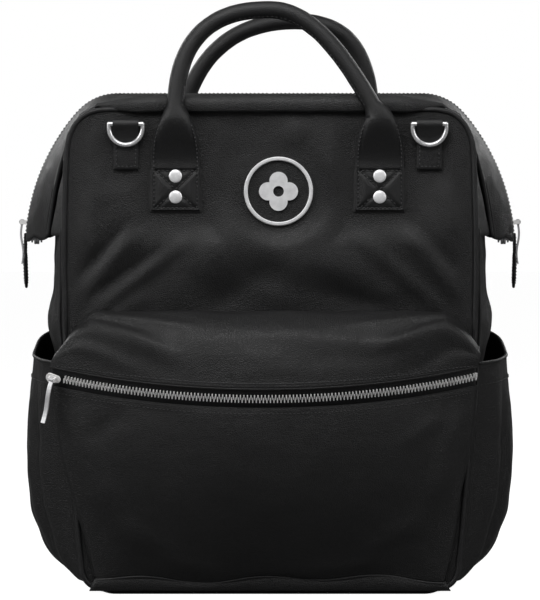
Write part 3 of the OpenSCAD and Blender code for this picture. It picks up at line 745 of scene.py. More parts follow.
def band_row(along, facing):
    """One row of the band from its hanging lip over the seam to the zip."""
    share, side = mirrored(along)
    share = min(share, MOUTH_END)
    zip_x, zip_z = zip_line(share, 0.5)
    foot = smooth((0.05 - share) / 0.05)
    row = []
    for v in steps(0, 1, 14):
        x, y, z = lerp_point(mouth_seam(share), (zip_x, -14.2, zip_z), v)
        bow = math.sin(pi * v)
        wrinkle = bow * (1.3 * ripple((x * side, y, z), 26, 11.0 + facing)
                         + 0.6 * ripple((x * side, y, z), 11, 4.0))
        out = (0.8 if share > 0.55 else 2.0) * bow
        # along the top the band stands up from the seam, then lies almost flat to the zip
        z += lerp(0.4, 1.0, smooth((share - 0.5) / 0.18)) * bow
        z += wrinkle * (1 if share > 0.55 else 0.3) - foot * (2.0 + 1.5 * math.sin(v * 9))
        z += 8.0 * (1 - v) ** 1.6 * smooth((share - 0.64) / 0.14)
        x += out * 0.2 if share > 0.6 else out + wrinkle
        row.append((side * x, -facing * y, z))
    # along the top the leather turns over and hangs as a lip in front of the seam,
    # pressed closer to the panel beside the handles
    hang = smooth((share - 0.66) / 0.1)
    x, y, z = row[0]
    pressed = 2.0 * (1 - smooth((abs(abs(x - HARDWARE_X) - HANDLE_X) - 6) / 5))
    lip = [(x, y + facing * max(0.05, (dy - pressed) * hang + 0.05),
            z + lerp(0.02 * dz, dz, hang) + hang * 0.5 * ripple((x, 0, dz), 18, 3.0))
           for dy, dz in ((6.6, -12.2), (7.7, -11.0), (7.6, -6.0), (6.4, -1.4))]
    return lip + row


def mouth_stitch_lift(p):
    """Up along the top, outwards down the sides."""
    return (p[0] * 0.6, 0, p[2] - 270) if abs(p[0]) > 125 else (0, 0, 1)


def mouth_band(facing, name):
    rows = [band_row(along, facing) for along in steps(0, 2, 150)]
    band = shell(name + "_mouth_leather", rows, 1.2 * facing, LEATHER,
                 replaced=name + "_mouth_strip")
    bend_with_mouth(band, band_weight)

    line = [zip_line(share, 1.55) for share in steps(0.02, 0.999, 89)]
    paths = [[(side * x, facing * 17.5, z) for x, z in line] for side in (1, -1)]
    row = stitches(name + "_mouth_stitches", paths, mouth_stitch_lift, LEATHER_THREAD)
    bend_with_mouth(row, band_weight)

    seam = [mouth_seam(share) for share in steps(0, 0.575, 60)]
    for side in (1, -1):
        path = [(side * (x - 0.3), -facing * y, z) for x, y, z in seam]
        piping = tube(f"{name}_wing_piping_{'r' if side > 0 else 'l'}", path, 1.75, TRIM,
                      replaced=name + "_mouth_piping", body=None)
        bend_with_mouth(piping, lambda p: seam_weight(p[2]))


# ------------------------------------------------------------------ gussets under the wings
def seam_share(z):
    return min(0.6, 0.6 * ((z - 284) / 96) ** 0.9) if z > 284 else 0


def gusset_row(up, side):
    """From the front piping to the wing's piping, then folded in between the mouth wires."""
    z = lerp(284.5, 383, up)
    seam = mouth_seam(seam_share(z))
    wing_x, wing_y = min(seam[0], 177.5) - 0.9, -seam[1]
    fold_x = lerp(170, 117, up ** 0.9)
    edge = panel_half(min(z, TOP - 1)) - 1.0
    corners = ((edge, -78.6),
               (lerp(edge, wing_x, 0.3), -lerp(78.6, wing_y, 0.25)),
               (lerp(edge, wing_x, 0.72) + 0.6, -lerp(78.6, wing_y, 0.65)),
               (wing_x, -wing_y - 0.4),
               (lerp(wing_x, fold_x, 0.25), -lerp(wing_y, 8, 0.3)),
               (lerp(wing_x, fold_x, 0.7), -lerp(wing_y, 8, 0.65)),
               (fold_x + 1, -5), (fold_x, 0))
    line = [lerp_point(a, b, k / 4) for a, b in zip(corners, corners[1:]) for k in range(4)]
    line.append(corners[-1])
    for _ in range(3):
        inner = [((a[0] + 2 * b[0] + c[0]) / 4, (a[1] + 2 * b[1] + c[1]) / 4)
                 for a, b, c in zip(line, line[1:], line[2:])]
        line = [line[0]] + inner + [line[-1]]
    return [(side * (x + 0.9 * ripple((x, y, z), 22, 6.0 + side) * smooth((77 - abs(y)) / 20)),
             y, z) for x, y in line]


def gusset_weight(p):
    """Most at the wing's seam, fading to the piping and to the middle fold."""
    wing_y, y = abs(mouth_seam(seam_share(p[2]))[1]), abs(p[1])
    share = smooth((78.6 - y) / (78.6 - wing_y)) if y > wing_y else smooth(y / wing_y)
    return share * seam_weight(p[2])


def gusset(side, name):
    rows = [gusset_row(up, side) for up in steps(0, 1, 39)]
    for facing, half in FACINGS:
        grid = [[(x, -facing * y, z) for x, y, z in row] for row in rows]
        piece = shell(f"{name}_gusset_{half}_leather", grid, -1.1 * side * facing, LEATHER,
                      replaced=name + "_wing_gusset", body=None)
        bend_with_mouth(piece, gusset_weight)


# ------------------------------------------------------------------ main zip
MOUTH_TOOTH_PITCH = 2.45
# share of a tooth's length, half width, half height
TOOTH_RINGS = ((0.0, 0.64, 1.1), (0.45, 0.64, 1.25), (0.7, 0.5, 1.1), (1.0, 0.42, 0.75))
OCTAGON = ((-1, -0.6), (-0.6, -1), (0.6, -1), (1, -0.6), (1, 0.6), (0.6, 1), (-0.6, 1), (-1, 0.6))


def add_tooth(verts, faces, root, along, out, reach, length, width=1.0):
    """A tapering bar from root in the direction reach; along is the zip's direction."""
    base = len(verts)
    for share, half_width, half_height in TOOTH_RINGS:
        centre = root + reach * (length * share)
        verts.extend(tuple(centre + along * (a * half_width * width) + out * (b * half_height))
                     for a, b in OCTAGON)
    faces += rod_faces(len(TOOTH_RINGS), len(OCTAGON), base)


def mouth_zip(facing, name):
    rows = [[mouth_point(along, facing * lerp(4.0, 15.5, j / 6), 0.12 * math.sin(j * 1.7))
             for j in range(7)] for along in steps(0, 2, 220)]
    shell(name + "_mouth_zip_tape", rows, 0.7 * facing, ZIP_TAPE,
          replaced=name + "_zip_tape", body=name + "_frame")

    line = resample([mouth_point(along, 0) for along in steps(0.035, 1.965, 600)],
                    MOUTH_TOOTH_PITCH)
    stagger = 0 if facing < 0 else MOUTH_TOOTH_PITCH / 2
    verts, faces = [], []
    for i in range(1, len(line) - 1):
        along = tangent(line, i)
        out = Vector((0, 1, 0)).cross(along).normalized()
        root = Vector(line[i]) + along * stagger + Vector((0, facing * 4.9, 0))
        add_tooth(verts, faces, root, along, out, Vector((0, -facing, 0)), length=3.4)
    new_piece(name + "_mouth_zip_teeth", verts, faces, ZIP_METAL,
              replaced=name + "_zip_teeth", body=name + "_frame", smooth_shade=False)


# ------------------------------------------------------------------ front pocket
# The pocket's zip sags in an arc that lies in a tilted plane; places on it are angles.
ZIP_TILT, ZIP_RADIUS, ZIP_HALF_ANGLE = math.radians(22), 369.4, 27.0
COS_TILT, SIN_TILT = math.cos(ZIP_TILT), math.sin(ZIP_TILT)
ZIP_ORIGIN = (-5.0, -125 + ZIP_RADIUS * COS_TILT, 159.5 + ZIP_RADIUS * SIN_TILT)
ZIP_UP = Vector((0, -SIN_TILT, COS_TILT))      # across the tape, towards the upper panel
ZIP_GAP = 8.4                                  # middle of the zip to each leather edge
POCKET_TOOTH_PITCH = 2.74

# fans of soft creases on the upper panel: x0, down0, x1, down1, width, height
UPPER_RIDGES = (
    (-150, 0.05, -60, 0.30, 0.06, 2.6), (-152, 0.12, -84, 0.62, 0.07, 2.4),
    (150, 0.06, 66, 0.28, 0.06, 2.4), (152, 0.14, 92, 0.60, 0.06, 2.0),
    (-118, 0.02, 112, 0.05, 0.07, 1.6), (-60, 0.55, 60, 0.9, 0.16, 1.5),
    (-20, 0.3, 120, 0.62, 0.12, 1.4), (-160, 0.25, -70, 0.75, 0.10, 3.2),
    (-158, 0.55, -90, 0.98, 0.08, 2.2), (-150, 0.10, -100, 0.35, 0.08, -1.8),
    (160, 0.25, 82, 0.62, 0.11, 3.2), (156, 0.5, 110, 0.95, 0.07, -2.2),
    (150, 0.15, 90, 0.9, 0.09, 1.6), (-60, 0.35, 40, 0.42, 0.16, 1.2),
    (20, 0.75, 90, 0.7, 0.10, -0.9), (-40, 0.85, 30, 0.8, 0.07, 0.8),
)
# creases on the lower panel: x0, z0, x1, z1, width, height
LOWER_RIDGES = (
    (-150, 150, -128, 60, 9, 3.0), (150, 150, 126, 70, 9, 2.8),
    (-146, 120, -112, 150, 8, -1.6), (-134, 96, -100, 30, 10, 1.8),
    (140, 110, 108, 40, 10, 1.6), (138, 146, 100, 120, 7, 1.4),
    (-120, 60, -60, 24, 9, 1.5), (118, 66, 66, 26, 9, 1.6),
    (-90, 30, -30, 18, 6, 1.2), (20, 20, 96, 28, 6, 1.2),
    (-40, 120, 10, 60, 22, 0.9), (60, 130, 90, 70, 16, -0.9),
)


def zip_point(angle, out, up):
    a = math.radians(angle)
    x, drop = (ZIP_RADIUS + out) * math.sin(a), (ZIP_RADIUS + out) * math.cos(a)
    return (ZIP_ORIGIN[0] + x, ZIP_ORIGIN[1] - drop * COS_TILT - up * SIN_TILT,
            ZIP_ORIGIN[2] - drop * SIN_TILT + up * COS_TILT)


def zip_out(angle):
    a = math.radians(angle)
    return Vector((math.sin(a), -math.cos(a) * COS_TILT, -math.cos(a) * SIN_TILT))


def zip_along(angle):
    a = math.radians(angle)
    return Vector((math.cos(a), math.sin(a) * COS_TILT, math.sin(a) * SIN_TILT))


# On the pocket's panels across runs -1 to 1 and down runs 0 to 1.
def upper_point(across, down):
    drop = max(0, (abs(across) - 0.84) / 0.16) ** 1.4
    seam = (164 * across, -HALF_DEPTH - 2.0 - 6 * abs(across) ** 8, 224 - 28 * drop)
    x, y, z = lerp_point(seam, zip_point(ZIP_HALF_ANGLE * across, 0.6, ZIP_GAP), down)
    fullness = 1 - abs(across) ** 4
    belly = math.sin(pi * down ** 0.72)
    relief = ridge_sum(x, down, UPPER_RIDGES, x_unit=150, reach=0.5)
    relief += 1.0 * ripple((x, y, z), 38, 21.0) + 0.4 * ripple((x, y, z), 13, 2.0)
    relief *= math.sin(pi * min(1, down * 1.02)) ** 0.6 * smooth((1 - abs(across)) / 0.06)
    sag = 1.2 * math.sin(across * 13 + 0.6) * hump(down - 0.03, 0.06)
    arch = math.sin(pi * down)
    return (x + 1.5 * signed_power(across, 6) * arch,
            y - 13.0 * belly * fullness - 2.2 * arch * (1 - fullness) - relief * 0.8,
            z + 6.5 * belly * fullness + relief * 0.5 + sag * 0.4)


def foot_z(across):
    return 13 + 2.2 * math.cos(9.4 * across + 0.4) + 1.4 * math.sin(4.1 * across)


def lower_point(across, down):
    foot = (138 * across, -HALF_DEPTH - 2.4, foot_z(across))
    x, y, z = lerp_point(zip_point(ZIP_HALF_ANGLE * across, 0.6, -ZIP_GAP), foot, down)
    belly = math.sin(pi * down ** 0.9)
    x += (2.5 + 1.5 * math.sin(down * 7 + across)) * across * belly
    y -= 13.0 * belly * (1 - abs(across) ** 4)
    relief = ridge_sum(x, z, LOWER_RIDGES)
    relief += 0.9 * ripple((x, y, z), 48, 31.0) + 0.35 * ripple((x, y, z), 16, 7.0)
    relief *= smooth((1 - abs(across)) / 0.07) * smooth(down / 0.05) * smooth((1 - down) / 0.03)
    return (x, y - relief, z)


def pocket_panels():
    rows = [[upper_point(u, v) for u in steps(-1, 1, 150)] for v in steps(0, 1, 44)]
    shell("pocket_upper_leather", rows, 1.3, LEATHER, replaced="pocket_upper_panel")

    # seam allowance that joins the pocket's top edge to the front panel
    rows = []
    for across in steps(-1, 1, 140):
        x, y, z = upper_point(across, 0.02)
        rows.append([(x, lerp(y + 0.7, -HALF_DEPTH + 0.7, t), z - 0.5 * math.sin(pi * t))
                     for t in steps(0, 1, 5)])
    shell("pocket_seam_allowance", rows, 0.9, LEATHER)

    rows = [[lower_point(u, v) for u in steps(-1, 1, 130)] for v in steps(0, 1, 90)]
    shell("pocket_lower_leather", rows, 1.3, LEATHER, replaced="pocket_lower_panel")


def pocket_edge(side, down):
    """The pocket's side edge: upper panel, end of the zip, lower panel."""
    if down < 0.22:
        return upper_point(side, down / 0.22)
    if down < 0.27:
        return lerp_point(upper_point(side, 1), lower_point(side, 0), (down - 0.22) / 0.05)
    return lower_point(side, (down - 0.27) / 0.73)


def pocket_side(side):
    """Wall from the pocket's edge seam back to the body."""
    rows = []
    for down in steps(0, 1, 59):
        edge = pocket_edge(side, down)
        body_x = panel_half(max(5, min(edge[2], TOP - 2))) + 1.2
        back = (side * min(abs(edge[0]) - 0.5, body_x), -HALF_DEPTH - 0.6,
                edge[2] + (2 if down < 0.2 else 0))
        row = []
        for t in steps(0, 1, 8):
            p = lerp_point(edge, back, t)
            puff = 1.2 * math.sin(pi * t) * (1 + 0.8 * ripple(p, 15, 3.0))
            row.append((p[0] + side * puff, p[1] + 0.9, p[2]))
        rows.append(row)
    shell("pocket_side_leather_" + ("r" if side > 0 else "l"), rows, 1.0 * side, LEATHER)


def add_pocket_tooth(verts, faces, angle, side, length, width):
    add_tooth(verts, faces, Vector(zip_point(angle, 1.35, side * 3.0)), zip_along(angle),
              zip_out(angle), ZIP_UP * -side, length, width)


def pocket_zip():
    rows = [[zip_point(angle, 0.1 * math.sin(up * 2.1), up) for up in steps(-12.5, 12.5, 12)]
            for angle in steps(-ZIP_HALF_ANGLE, ZIP_HALF_ANGLE, 160)]
    shell("pocket_zip_tape_weave", rows, -0.6, ZIP_TAPE, replaced="pocket_zip_tape")

    pitch = math.degrees(POCKET_TOOTH_PITCH / ZIP_RADIUS)
    verts, faces = [], []
    angle = -ZIP_HALF_ANGLE + 1.9
    while angle < ZIP_HALF_ANGLE - 0.35:
        add_pocket_tooth(verts, faces, angle, side=-1, length=3.7, width=0.7)
        add_pocket_tooth(verts, faces, angle + pitch / 2, side=1, length=3.7, width=0.7)
        angle += pitch
    new_piece("pocket_zip_metal_teeth", verts, faces, ZIP_METAL, replaced="pocket_zip_teeth",
              smooth_shade=False)

    verts, faces = [], []
    add_pocket_tooth(verts, faces, ZIP_HALF_ANGLE - 0.15, side=1, length=6.0, width=1.6)
    new_piece("pocket_zip_stop", verts, faces, ZIP_METAL, smooth_shade=False)


def beside_zip(point_on, down, reach, count, lift):
    return [Vector(point_on(reach * u, down)) + zip_out(ZIP_HALF_ANGLE * u) * lift
            for u in steps(-1, 1, count)]


def pocket_seams():
    paths = [beside_zip(upper_point, 0.935, reach=0.985, count=200, lift=1.42),
             beside_zip(lower_point, 0.028, reach=0.985, count=200, lift=1.42)]
    stitches("pocket_stitches", paths, lambda p: zip_out(p[0] / 6.2), LEATHER_THREAD)
    # rolled edges beside the tape
    for name, point_on, down in (("upper", upper_point, 1.0), ("lower", lower_point, 0.0)):
        tube("pocket_zip_edge_" + name,
             beside_zip(point_on, down, reach=1.0, count=160, lift=0.75),
             0.85, LEATHER, sides=8, guide=(0, 0, 1))
    # welt between the pocket and the base strip
    path = [(138.5 * u, -HALF_DEPTH - 3.4, foot_z(u) - 0.8) for u in steps(-1, 1, 120)]
    tube("pocket_foot_welt", path, 1.1, TRIM, sides=8, guide=(0, 1, 0.01))


# ------------------------------------------------------------------ side pockets
POUCH_HALF, POUCH_TURN = 72, 3.5      # half width, and the turned edge beyond it
# how far out the pocket stands: z, x
POUCH_PROFILE = ((8, 155), (30, 177), (60, 193), (103, 198), (140, 196), (185, 192), (210, 191))


def pouch_profile(z):
    for (z0, x0), (z1, x1) in zip(POUCH_PROFILE, POUCH_PROFILE[1:]):
        if z <= z1:
            return lerp(x0, x1, (z - z0) / (z1 - z0))
    return POUCH_PROFILE[-1][1]


def pouch_point(side, y, up):
    """up runs 0 to 1 from the foot to the sloping rim."""
    rim_z = 183 + (y + 72) / 144 * 22 - 3.0 * math.cos(pi * y / 144)
    z = lerp(8.5, rim_z, up)
    skin = skin_x(y, z) + 2.4
    profile = sum(pouch_profile(z + d) for d in (-9, -5, 0, 5, 9)) / 5 + 5.5 * hump(z - 25, 17)
    x = max(skin, lerp(skin, profile, 1 - (abs(y) / 72) ** 3))
    # upright folds that drift and fade towards the rim
    wrinkle = 2.4 * hump(y + 44 - 8 * up, 6) * math.sin(pi * min(1, up * 1.1))
    wrinkle -= 2.2 * hump(y + 31 - 5 * up, 5) * (1 - up)
    wrinkle += 1.8 * hump(y - 40 + 6 * up, 7) * (1 - 0.5 * up)
    wrinkle += 2.6 * (1 - up) * ripple((side * 9, y * 1.6, z * 0.5), 30, 17.0)
    wrinkle += 1.2 * ripple((side * 5, y, z), 34, 14.0)
    wrinkle += 0.8 * math.sin(y * 0.21 + side) * smooth((0.25 - up) / 0.25)
    wrinkle += 0.7 * ripple((side * 3, y * 1.4, z * 0.7), 13, 9.0)
    folds = 3.0 * hump(y + 60 - 3 * up, 4.5) - 3.2 * hump(y + 51 - 6 * up, 4.0)
    folds += 1.8 * hump(y + 22 + 9 * up, 6) - 1.5 * hump(y - 12, 6)
    wrinkle += folds * (0.25 + 0.75 * math.sin(pi * min(1, up * 1.05)))
    x += wrinkle * smooth((72 - abs(y)) / 16) * (0.35 + 0.65 * smooth((1 - up) / 0.12))
    return (side * x, y, z)


def turned_pouch_point(side, y, up):
    """As pouch_point, with the edges beyond POUCH_HALF turned in to the body."""
    x, _, z = pouch_point(side, max(-POUCH_HALF, min(POUCH_HALF, y)), up)
    return (x - side * 1.2 * max(0, abs(y) - POUCH_HALF) / POUCH_TURN, y, z)


def side_pocket(side, name):
    edge = POUCH_HALF + POUCH_TURN
    rows = [[turned_pouch_point(side, y, up) for y in steps(-edge, edge, 80)]
            for up in steps(0, 1, 90)]
    shell(name + "_side_pocket_leather", rows, 1.2 * side, LEATHER,
          replaced=name + "_side_pocket")
    # rolled rim and the hem's stitching
    path = [pouch_point(side, y, 1.0) for y in steps(-POUCH_HALF, POUCH_HALF, 60)]
    tube(name + "_side_pocket_rim", [(x - side * 0.2, y, z) for x, y, z in path], 1.35, LEATHER,
         sides=8, guide=(1, 0, 0))
    path = [pouch_point(side, y, 1 - 18.0 / 185) for y in steps(-70, 70, 60)]
    stitches(name + "_side_pocket_stitches", [[(x + side * 0.25, y, z) for x, y, z in path]],
             (side, 0, 0), LEATHER_THREAD)


# ------------------------------------------------------------------ base and lining
def base():
    rows = []
    for y in steps(-79.6, 79.6, 60):
        curl_y = 1.8 * max(0.0, (abs(y) - 74) / 5.6) ** 2
        rows.append([(x, y, 0.25 + 5.2 * max(0.0, (abs(x) - 122) / 17) ** 2 + curl_y)
                     for x in steps(-139, 139, 96)])
    shell("base_leather", rows, 1.2, LEATHER, replaced="base_panel")

    # strip between the base seam and the pocket's foot
    rows = [[(lerp(143.5, 139, t) * u,
              -HALF_DEPTH - 2.3 - 1.3 * math.sin(pi * t) - 0.5 * math.sin(u * 11),
              lerp(3.2, foot_z(u) + 0.5, t)) for u in steps(-1, 1, 90)]
            for t in steps(0, 1, 8)]
    shell("base_front_strip", rows, -1.0, LEATHER)


LINING_RINGS, LINING_SIDES = 61, 120


def lining_ring(z):
    """A rounded rectangle with soft folds."""
    spread = smooth((z - 250) / 130)
    points = []
    for k in range(LINING_SIDES):
        a = 2 * pi * k / LINING_SIDES
        x = lerp(139.0, 134.0, spread) * signed_power(math.cos(a), 0.24)
        y = lerp(74.0, 75.5, spread) * signed_power(math.sin(a), 0.24)
        fold = max(0, 1.3 * ripple((x, y, z), 30, 40.0) + 0.5 * ripple((x, y, z), 12, 41.0))
        points.append((x * (1 - fold / 140), y * (1 - fold / 90), z))
    return points


def lining_bag():
    """Drops from the mouth's edge to the base board; two skins joined at the top."""
    outer = [p for z in steps(13, 344, LINING_RINGS - 1) for p in lining_ring(z)]
    inner = [(x * 0.992, y * 0.988, max(z, 13.8)) for x, y, z in outer]
    k = len(outer)
    faces = grid_faces(LINING_RINGS, LINING_SIDES, wrap_cols=True)
    faces.append(tuple(reversed(range(LINING_SIDES))))
    faces += grid_faces(LINING_RINGS, LINING_SIDES, wrap_cols=True, base=k, flip=True)
    faces.append(tuple(k + i for i in range(LINING_SIDES)))
    last = (LINING_RINGS - 1) * LINING_SIDES
    for i in range(LINING_SIDES):
        a, b = last + i, last + (i + 1) % LINING_SIDES
        faces.append((a, b, k + b, k + a))
    new_piece("lining_fabric_bag", outer + inner, faces, LINING, replaced="body_lining")


def inner_pocket():
    """Slip pocket on the rear of the lining, its top edge dipping in the middle."""
    def dip(x):
        return 2.0 * math.cos(x / 106 * pi)

    rows = []
    for i, z in enumerate(steps(60, 190, 29)):
        puff = 1.4 * math.sin(pi * min(1, (z - 60) / 120))
        rows.append([(x, 71.6 - puff * (1 - (x / 106) ** 4) - 0.6 * ripple((x, 0, z), 20, 9.0),
                      z - (dip(x) if i > 27 else 0)) for x in steps(-105, 105, 60)])
    shell("inner_slip_pocket", rows, 0.8, LINING, replaced="inner_pocket")
    tube("inner_pocket_binding", [(x, 70.6, 190.3 - dip(x)) for x in steps(-105, 105, 60)],
         1.0, LINING_TAPE, sides=8)


# ------------------------------------------------------------------ handles
BELL_Z, NECK_Z, HANDLE_TOP = 341.6, 378.0, 463.7   # foot of the bell, its neck, pull of the bow
CORD_RADIUS = 6.35
BELL_HALF = 19.2                                   # half width at the foot of the bell
NECK_OUT = 8.8                                     # the neck stands this far off the panel
HANDLE_SIDES, BELL_STEPS, BOW_STEPS = 40, 34, 90
# Bezier points between the two necks, x and z; the third is on the bow
FRONT_BOW = ((-82, 420), (-69.5, HANDLE_TOP), (-7.5, HANDLE_TOP), (26.5, HANDLE_TOP), (51.75, 430))
REAR_BOW = ((-72, 428), (-40, HANDLE_TOP - 2.2), (14, HANDLE_TOP - 2.2), (58, HANDLE_TOP - 2.2),
            (78, 440))


def lean(z):
    return -HALF_DEPTH - NECK_OUT + 12 * (z - NECK_Z) / 86


def bow_point(t, bow):
    points = ((-HANDLE_X, NECK_Z), *bow, (HANDLE_X, NECK_Z))
    x, z = bezier(points[:4], 2 * t) if t < 0.5 else bezier(points[3:], 2 * t - 1)
    return (x, lean(z), z)


def bow_across(path, i):
    along = tangent(path, i)
    return Vector((along.z, 0, -along.x)).normalized()


def bell_half(z):
    """Half width of the handle: wide at the patch, closing round the cord like a bell."""
    t = min(1.0, max(0.0, (z - BELL_Z) / 46.0))
    return CORD_RADIUS + (BELL_HALF - CORD_RADIUS) * (1 - t ** 2.2)


def bell_sections():
    """Left foot up to the neck: centre, across, half width, half thickness, closing 0 to 1."""
    sections = []
    for z in steps(337.6, NECK_Z, BELL_STEPS):
        closing = max(0.0, (z - BELL_Z) / (NECK_Z - BELL_Z))
        round_ = closing * closing * (3 - 2 * closing)
        y = lerp(-HALF_DEPTH - 1.75, -HALF_DEPTH - NECK_OUT, round_)
        sections.append(((-HANDLE_X, y, z), Vector((1, 0, 0)), bell_half(z),
                         lerp(1.3, CORD_RADIUS, round_), closing))
    return sections


def handle_ring(section, facing):
    centre, across, width, thick, closing = section
    centre = Vector(centre)
    ring = []
    for k in range(HANDLE_SIDES):
        a = 2 * pi * k / HANDLE_SIDES
        power = lerp(0.42, 1.0, min(1, (thick / width) * 1.1))
        side_in = signed_power(math.cos(a), power)
        # a raised stitched flange runs down the inner edge of the tube
        turned = abs(math.degrees(math.atan2(math.sin(a), math.cos(a))))
        flange = 0.9 * hump(turned, 16) if closing >= 0.995 else 0.0
        p = Vector(centre) + across * (width * side_in + flange)
        p += Vector((0, 1, 0)) * (thick * signed_power(math.sin(a), power))
        crease = 0.12 * ripple(p, 9, 3.0 + facing) + 0.22 * ripple(p, 24, 1.0)
        if closing < 1:
            # creases where the leather gathers at the neck
            crease += 0.55 * hump(closing - 0.62, 0.3) * math.sin(a * 5 + 0.7)
            # the stitched seam beside each edge of the foot sits in a groove
            if abs(math.sin(a)) > 0.2:
                groove = hump(abs(width * side_in) - (width - 3.0), 0.9)
                crease -= 0.8 * groove * (1 - 0.6 * closing)
        if closing >= 0.995:
            crease += 0.10 * ripple(p, 5, 6.0)
        p += (p - centre).normalized() * crease
        ring.append((p.x + HARDWARE_X, -facing * p.y, p.z))
    return ring


def bend_with_handle(piece):
    bend(piece,
         lambda p: smooth((p[2] - 338.0) / 13.0))


def handle(facing, name, bow):
    bell = bell_sections()
    arc = [bow_point(i / BOW_STEPS, bow) for i in range(1, BOW_STEPS)]
    sections = bell + [(p, bow_across(arc, i), bell_half(p[2]), CORD_RADIUS, 1.0)
                       for i, p in enumerate(arc)]
    sections += [((-x, y, z), -across, *rest) for (x, y, z), across, *rest in reversed(bell)]
    verts = [p for section in sections for p in handle_ring(section, facing)]
    cover = new_piece(name + "_handle_leather", verts, rod_faces(len(sections), HANDLE_SIDES),
                      TRIM, replaced=name + "_handle_cover", body=None)
    bend_with_handle(cover)

    # rows down both edges of each bell
    paths = []
    for side in (-1, 1):
        for edge in (-1, 1):
            paths.append([(side * HANDLE_X + HARDWARE_X + edge * (width - 2.1 * (1 - 0.5 * closing)),
                           facing * (-y + thick * lerp(0.98, 0.62, smooth((closing - 0.2) / 0.6))),
                           z) for (_, y, z), _, width, thick, closing in bell[1:31]])
    rows = stitches(name + "_handle_stitches", paths, (0, facing, 0), TRIM_THREAD, body=None)
    bend_with_handle(rows)

    # a row along the inside of the tube
    a = math.radians(24)
    in_, out = CORD_RADIUS * math.cos(a), CORD_RADIUS * math.sin(a)
    inside, path = arc[2:-2], []
    for i, (x, y, z) in enumerate(inside):
        across = bow_across(inside, i)
        path.append((x + HARDWARE_X + across.x * in_, facing * (-y + out), z + across.z * in_))
    stitches(name + "_handle_tube_stitches", [path],
             lambda p: (-(p[0] - HARDWARE_X) * 0.5, facing * 30, -30), TRIM_THREAD, pitch=3.6,
             body=name + "_handle")


# ------------------------------------------------------------------ handle patches
PATCH_Z, PATCH_WIDTH, PATCH_HEIGHT = 321.6, 39.4, 34.6
RIVET_Z = (-6.1, 10.4)      # rivets above the patch's middle


def soft_plate(name, centre, size, y, thickness, facing, corner=2.0, puff=0.7, dents=(), **told):
    """A padded patch: rounded edges, crowned between its stitch lines.

    y is its back; dents are x0, z0, x1, z1 and width, from its middle.
    """
    half_x, half_z = size[0] / 2, size[1] / 2
    front, back = [], []
    for v in sine_steps(34):
        front_row, back_row = [], []
        for u in sine_steps(34):
            x, z = u * half_x, v * half_z
            inset = min(half_x - abs(x), half_z - abs(z))
            body = thickness * (1 - 0.55 * (1 - smooth(inset / 1.1)))
            groove = hump(inset - 2.6, 0.8) * 0.6
            crown = puff * smooth((inset - 3.2) / 5)
            for x0, z0, x1, z1, width in dents:
                dx, dz = x1 - x0, z1 - z0
                t = ((x - x0) * dx + (z - z0) * dz) / (dx * dx + dz * dz)
                t = max(0, min(1, t))
                crown -= (puff + 0.55) * hump(math.hypot(x - x0 - t * dx, z - z0 - t * dz), width)
            crown += 0.15 * ripple((centre[0] + x, 0, centre[1] + z), 9, 5.0)
            over_x = max(0, abs(x) - (half_x - corner))
            over_z = max(0, abs(z) - (half_z - corner))
            over = math.hypot(over_x, over_z)
            if over_x > 0 and over_z > 0 and over > corner:
                x = math.copysign(half_x - corner + over_x * corner / over, x)
                z = math.copysign(half_z - corner + over_z * corner / over, z)
            x, z = centre[0] + x, centre[1] + z
            front_row.append((x, facing * (y + body - groove + max(-0.9, crown)), z))
            back_row.append((x, facing * y, z))
        front.append(front_row)
        back.append(back_row)
    return two_sheets(name, front, back, TRIM, **told)


def rectangle(centre_x, centre_z, width, height, y):
    """Closed path from the top left corner down and round."""
    left, right = centre_x - width / 2, centre_x + width / 2
    low, high = centre_z - height / 2, centre_z + height / 2
    return [(left, y, high), (left, y, low), (right, y, low), (right, y, high), (left, y, high)]


def runs_clear_of_rivets(points, centre_x):
    """Breaks a row of points where the rivets sit."""
    runs, run = [], []
    for p in points:
        if min(math.hypot(p[0] - centre_x, p[2] - PATCH_Z - z) for z in RIVET_Z) < 5.6:
            runs.append(run)
            run = []
        else:
            run.append(p)
    return [r for r in runs + [run] if len(r) > 2]


def handle_patch(facing, name, side):
    end = "r" if side > 0 else "l"
    x = HARDWARE_X + side * HANDLE_X
    dents = [(-15, 14.5, 15, -14.5, 1.2), (-15, -14.5, 15, 14.5, 1.2)]
    dents += [(0, z, 0, z + 0.1, 6.5) for z in RIVET_Z]
    soft_plate(f"{name}_patch_{end}", (x, PATCH_Z), (PATCH_WIDTH, PATCH_HEIGHT),
               HALF_DEPTH + 0.25, 2.75, facing, puff=1.25, dents=dents,
               replaced=name + "_handle_patches")
    # a second, thinner layer that shows as a lip at the foot
    soft_plate(f"{name}_patch_lip_{end}", (x, PATCH_Z - 1.7),
               (PATCH_WIDTH + 1.6, PATCH_HEIGHT - 0.4), HALF_DEPTH + 0.05, 0.9, facing, puff=0.0)
    y = facing * (HALF_DEPTH + 2.72)
    paths = [rectangle(x, PATCH_Z, PATCH_WIDTH - 5.4, PATCH_HEIGHT - 5.0, y)]
    for rise in (14.2, -14.2):
        diagonal = [(x + 15 * t, y + facing * 0.1, PATCH_Z - rise * t) for t in steps(-1, 1, 24)]
        paths += runs_clear_of_rivets(diagonal, x)
    stitches(f"{name}_patch_stitches_{end}", paths, (0, facing, 0), TRIM_THREAD)


# ------------------------------------------------------------------ D-ring tabs
RING_BAR_Y, RING_BAR_Z, RING_LOOP = -HALF_DEPTH - 5.2, 373.0, 3.9
# the strip's front and rear runs: distance in front of the panel, z
TAB_FRONT = ((2.35, 337.2), (2.7, 345), (3.1, 355), (4.4, 363), (6.6, 367.6))
TAB_REAR = ((1.3, 368), (0.6, 360), (0.4, 345), (0.4, 337.2))
TAB_HALF = 9.9


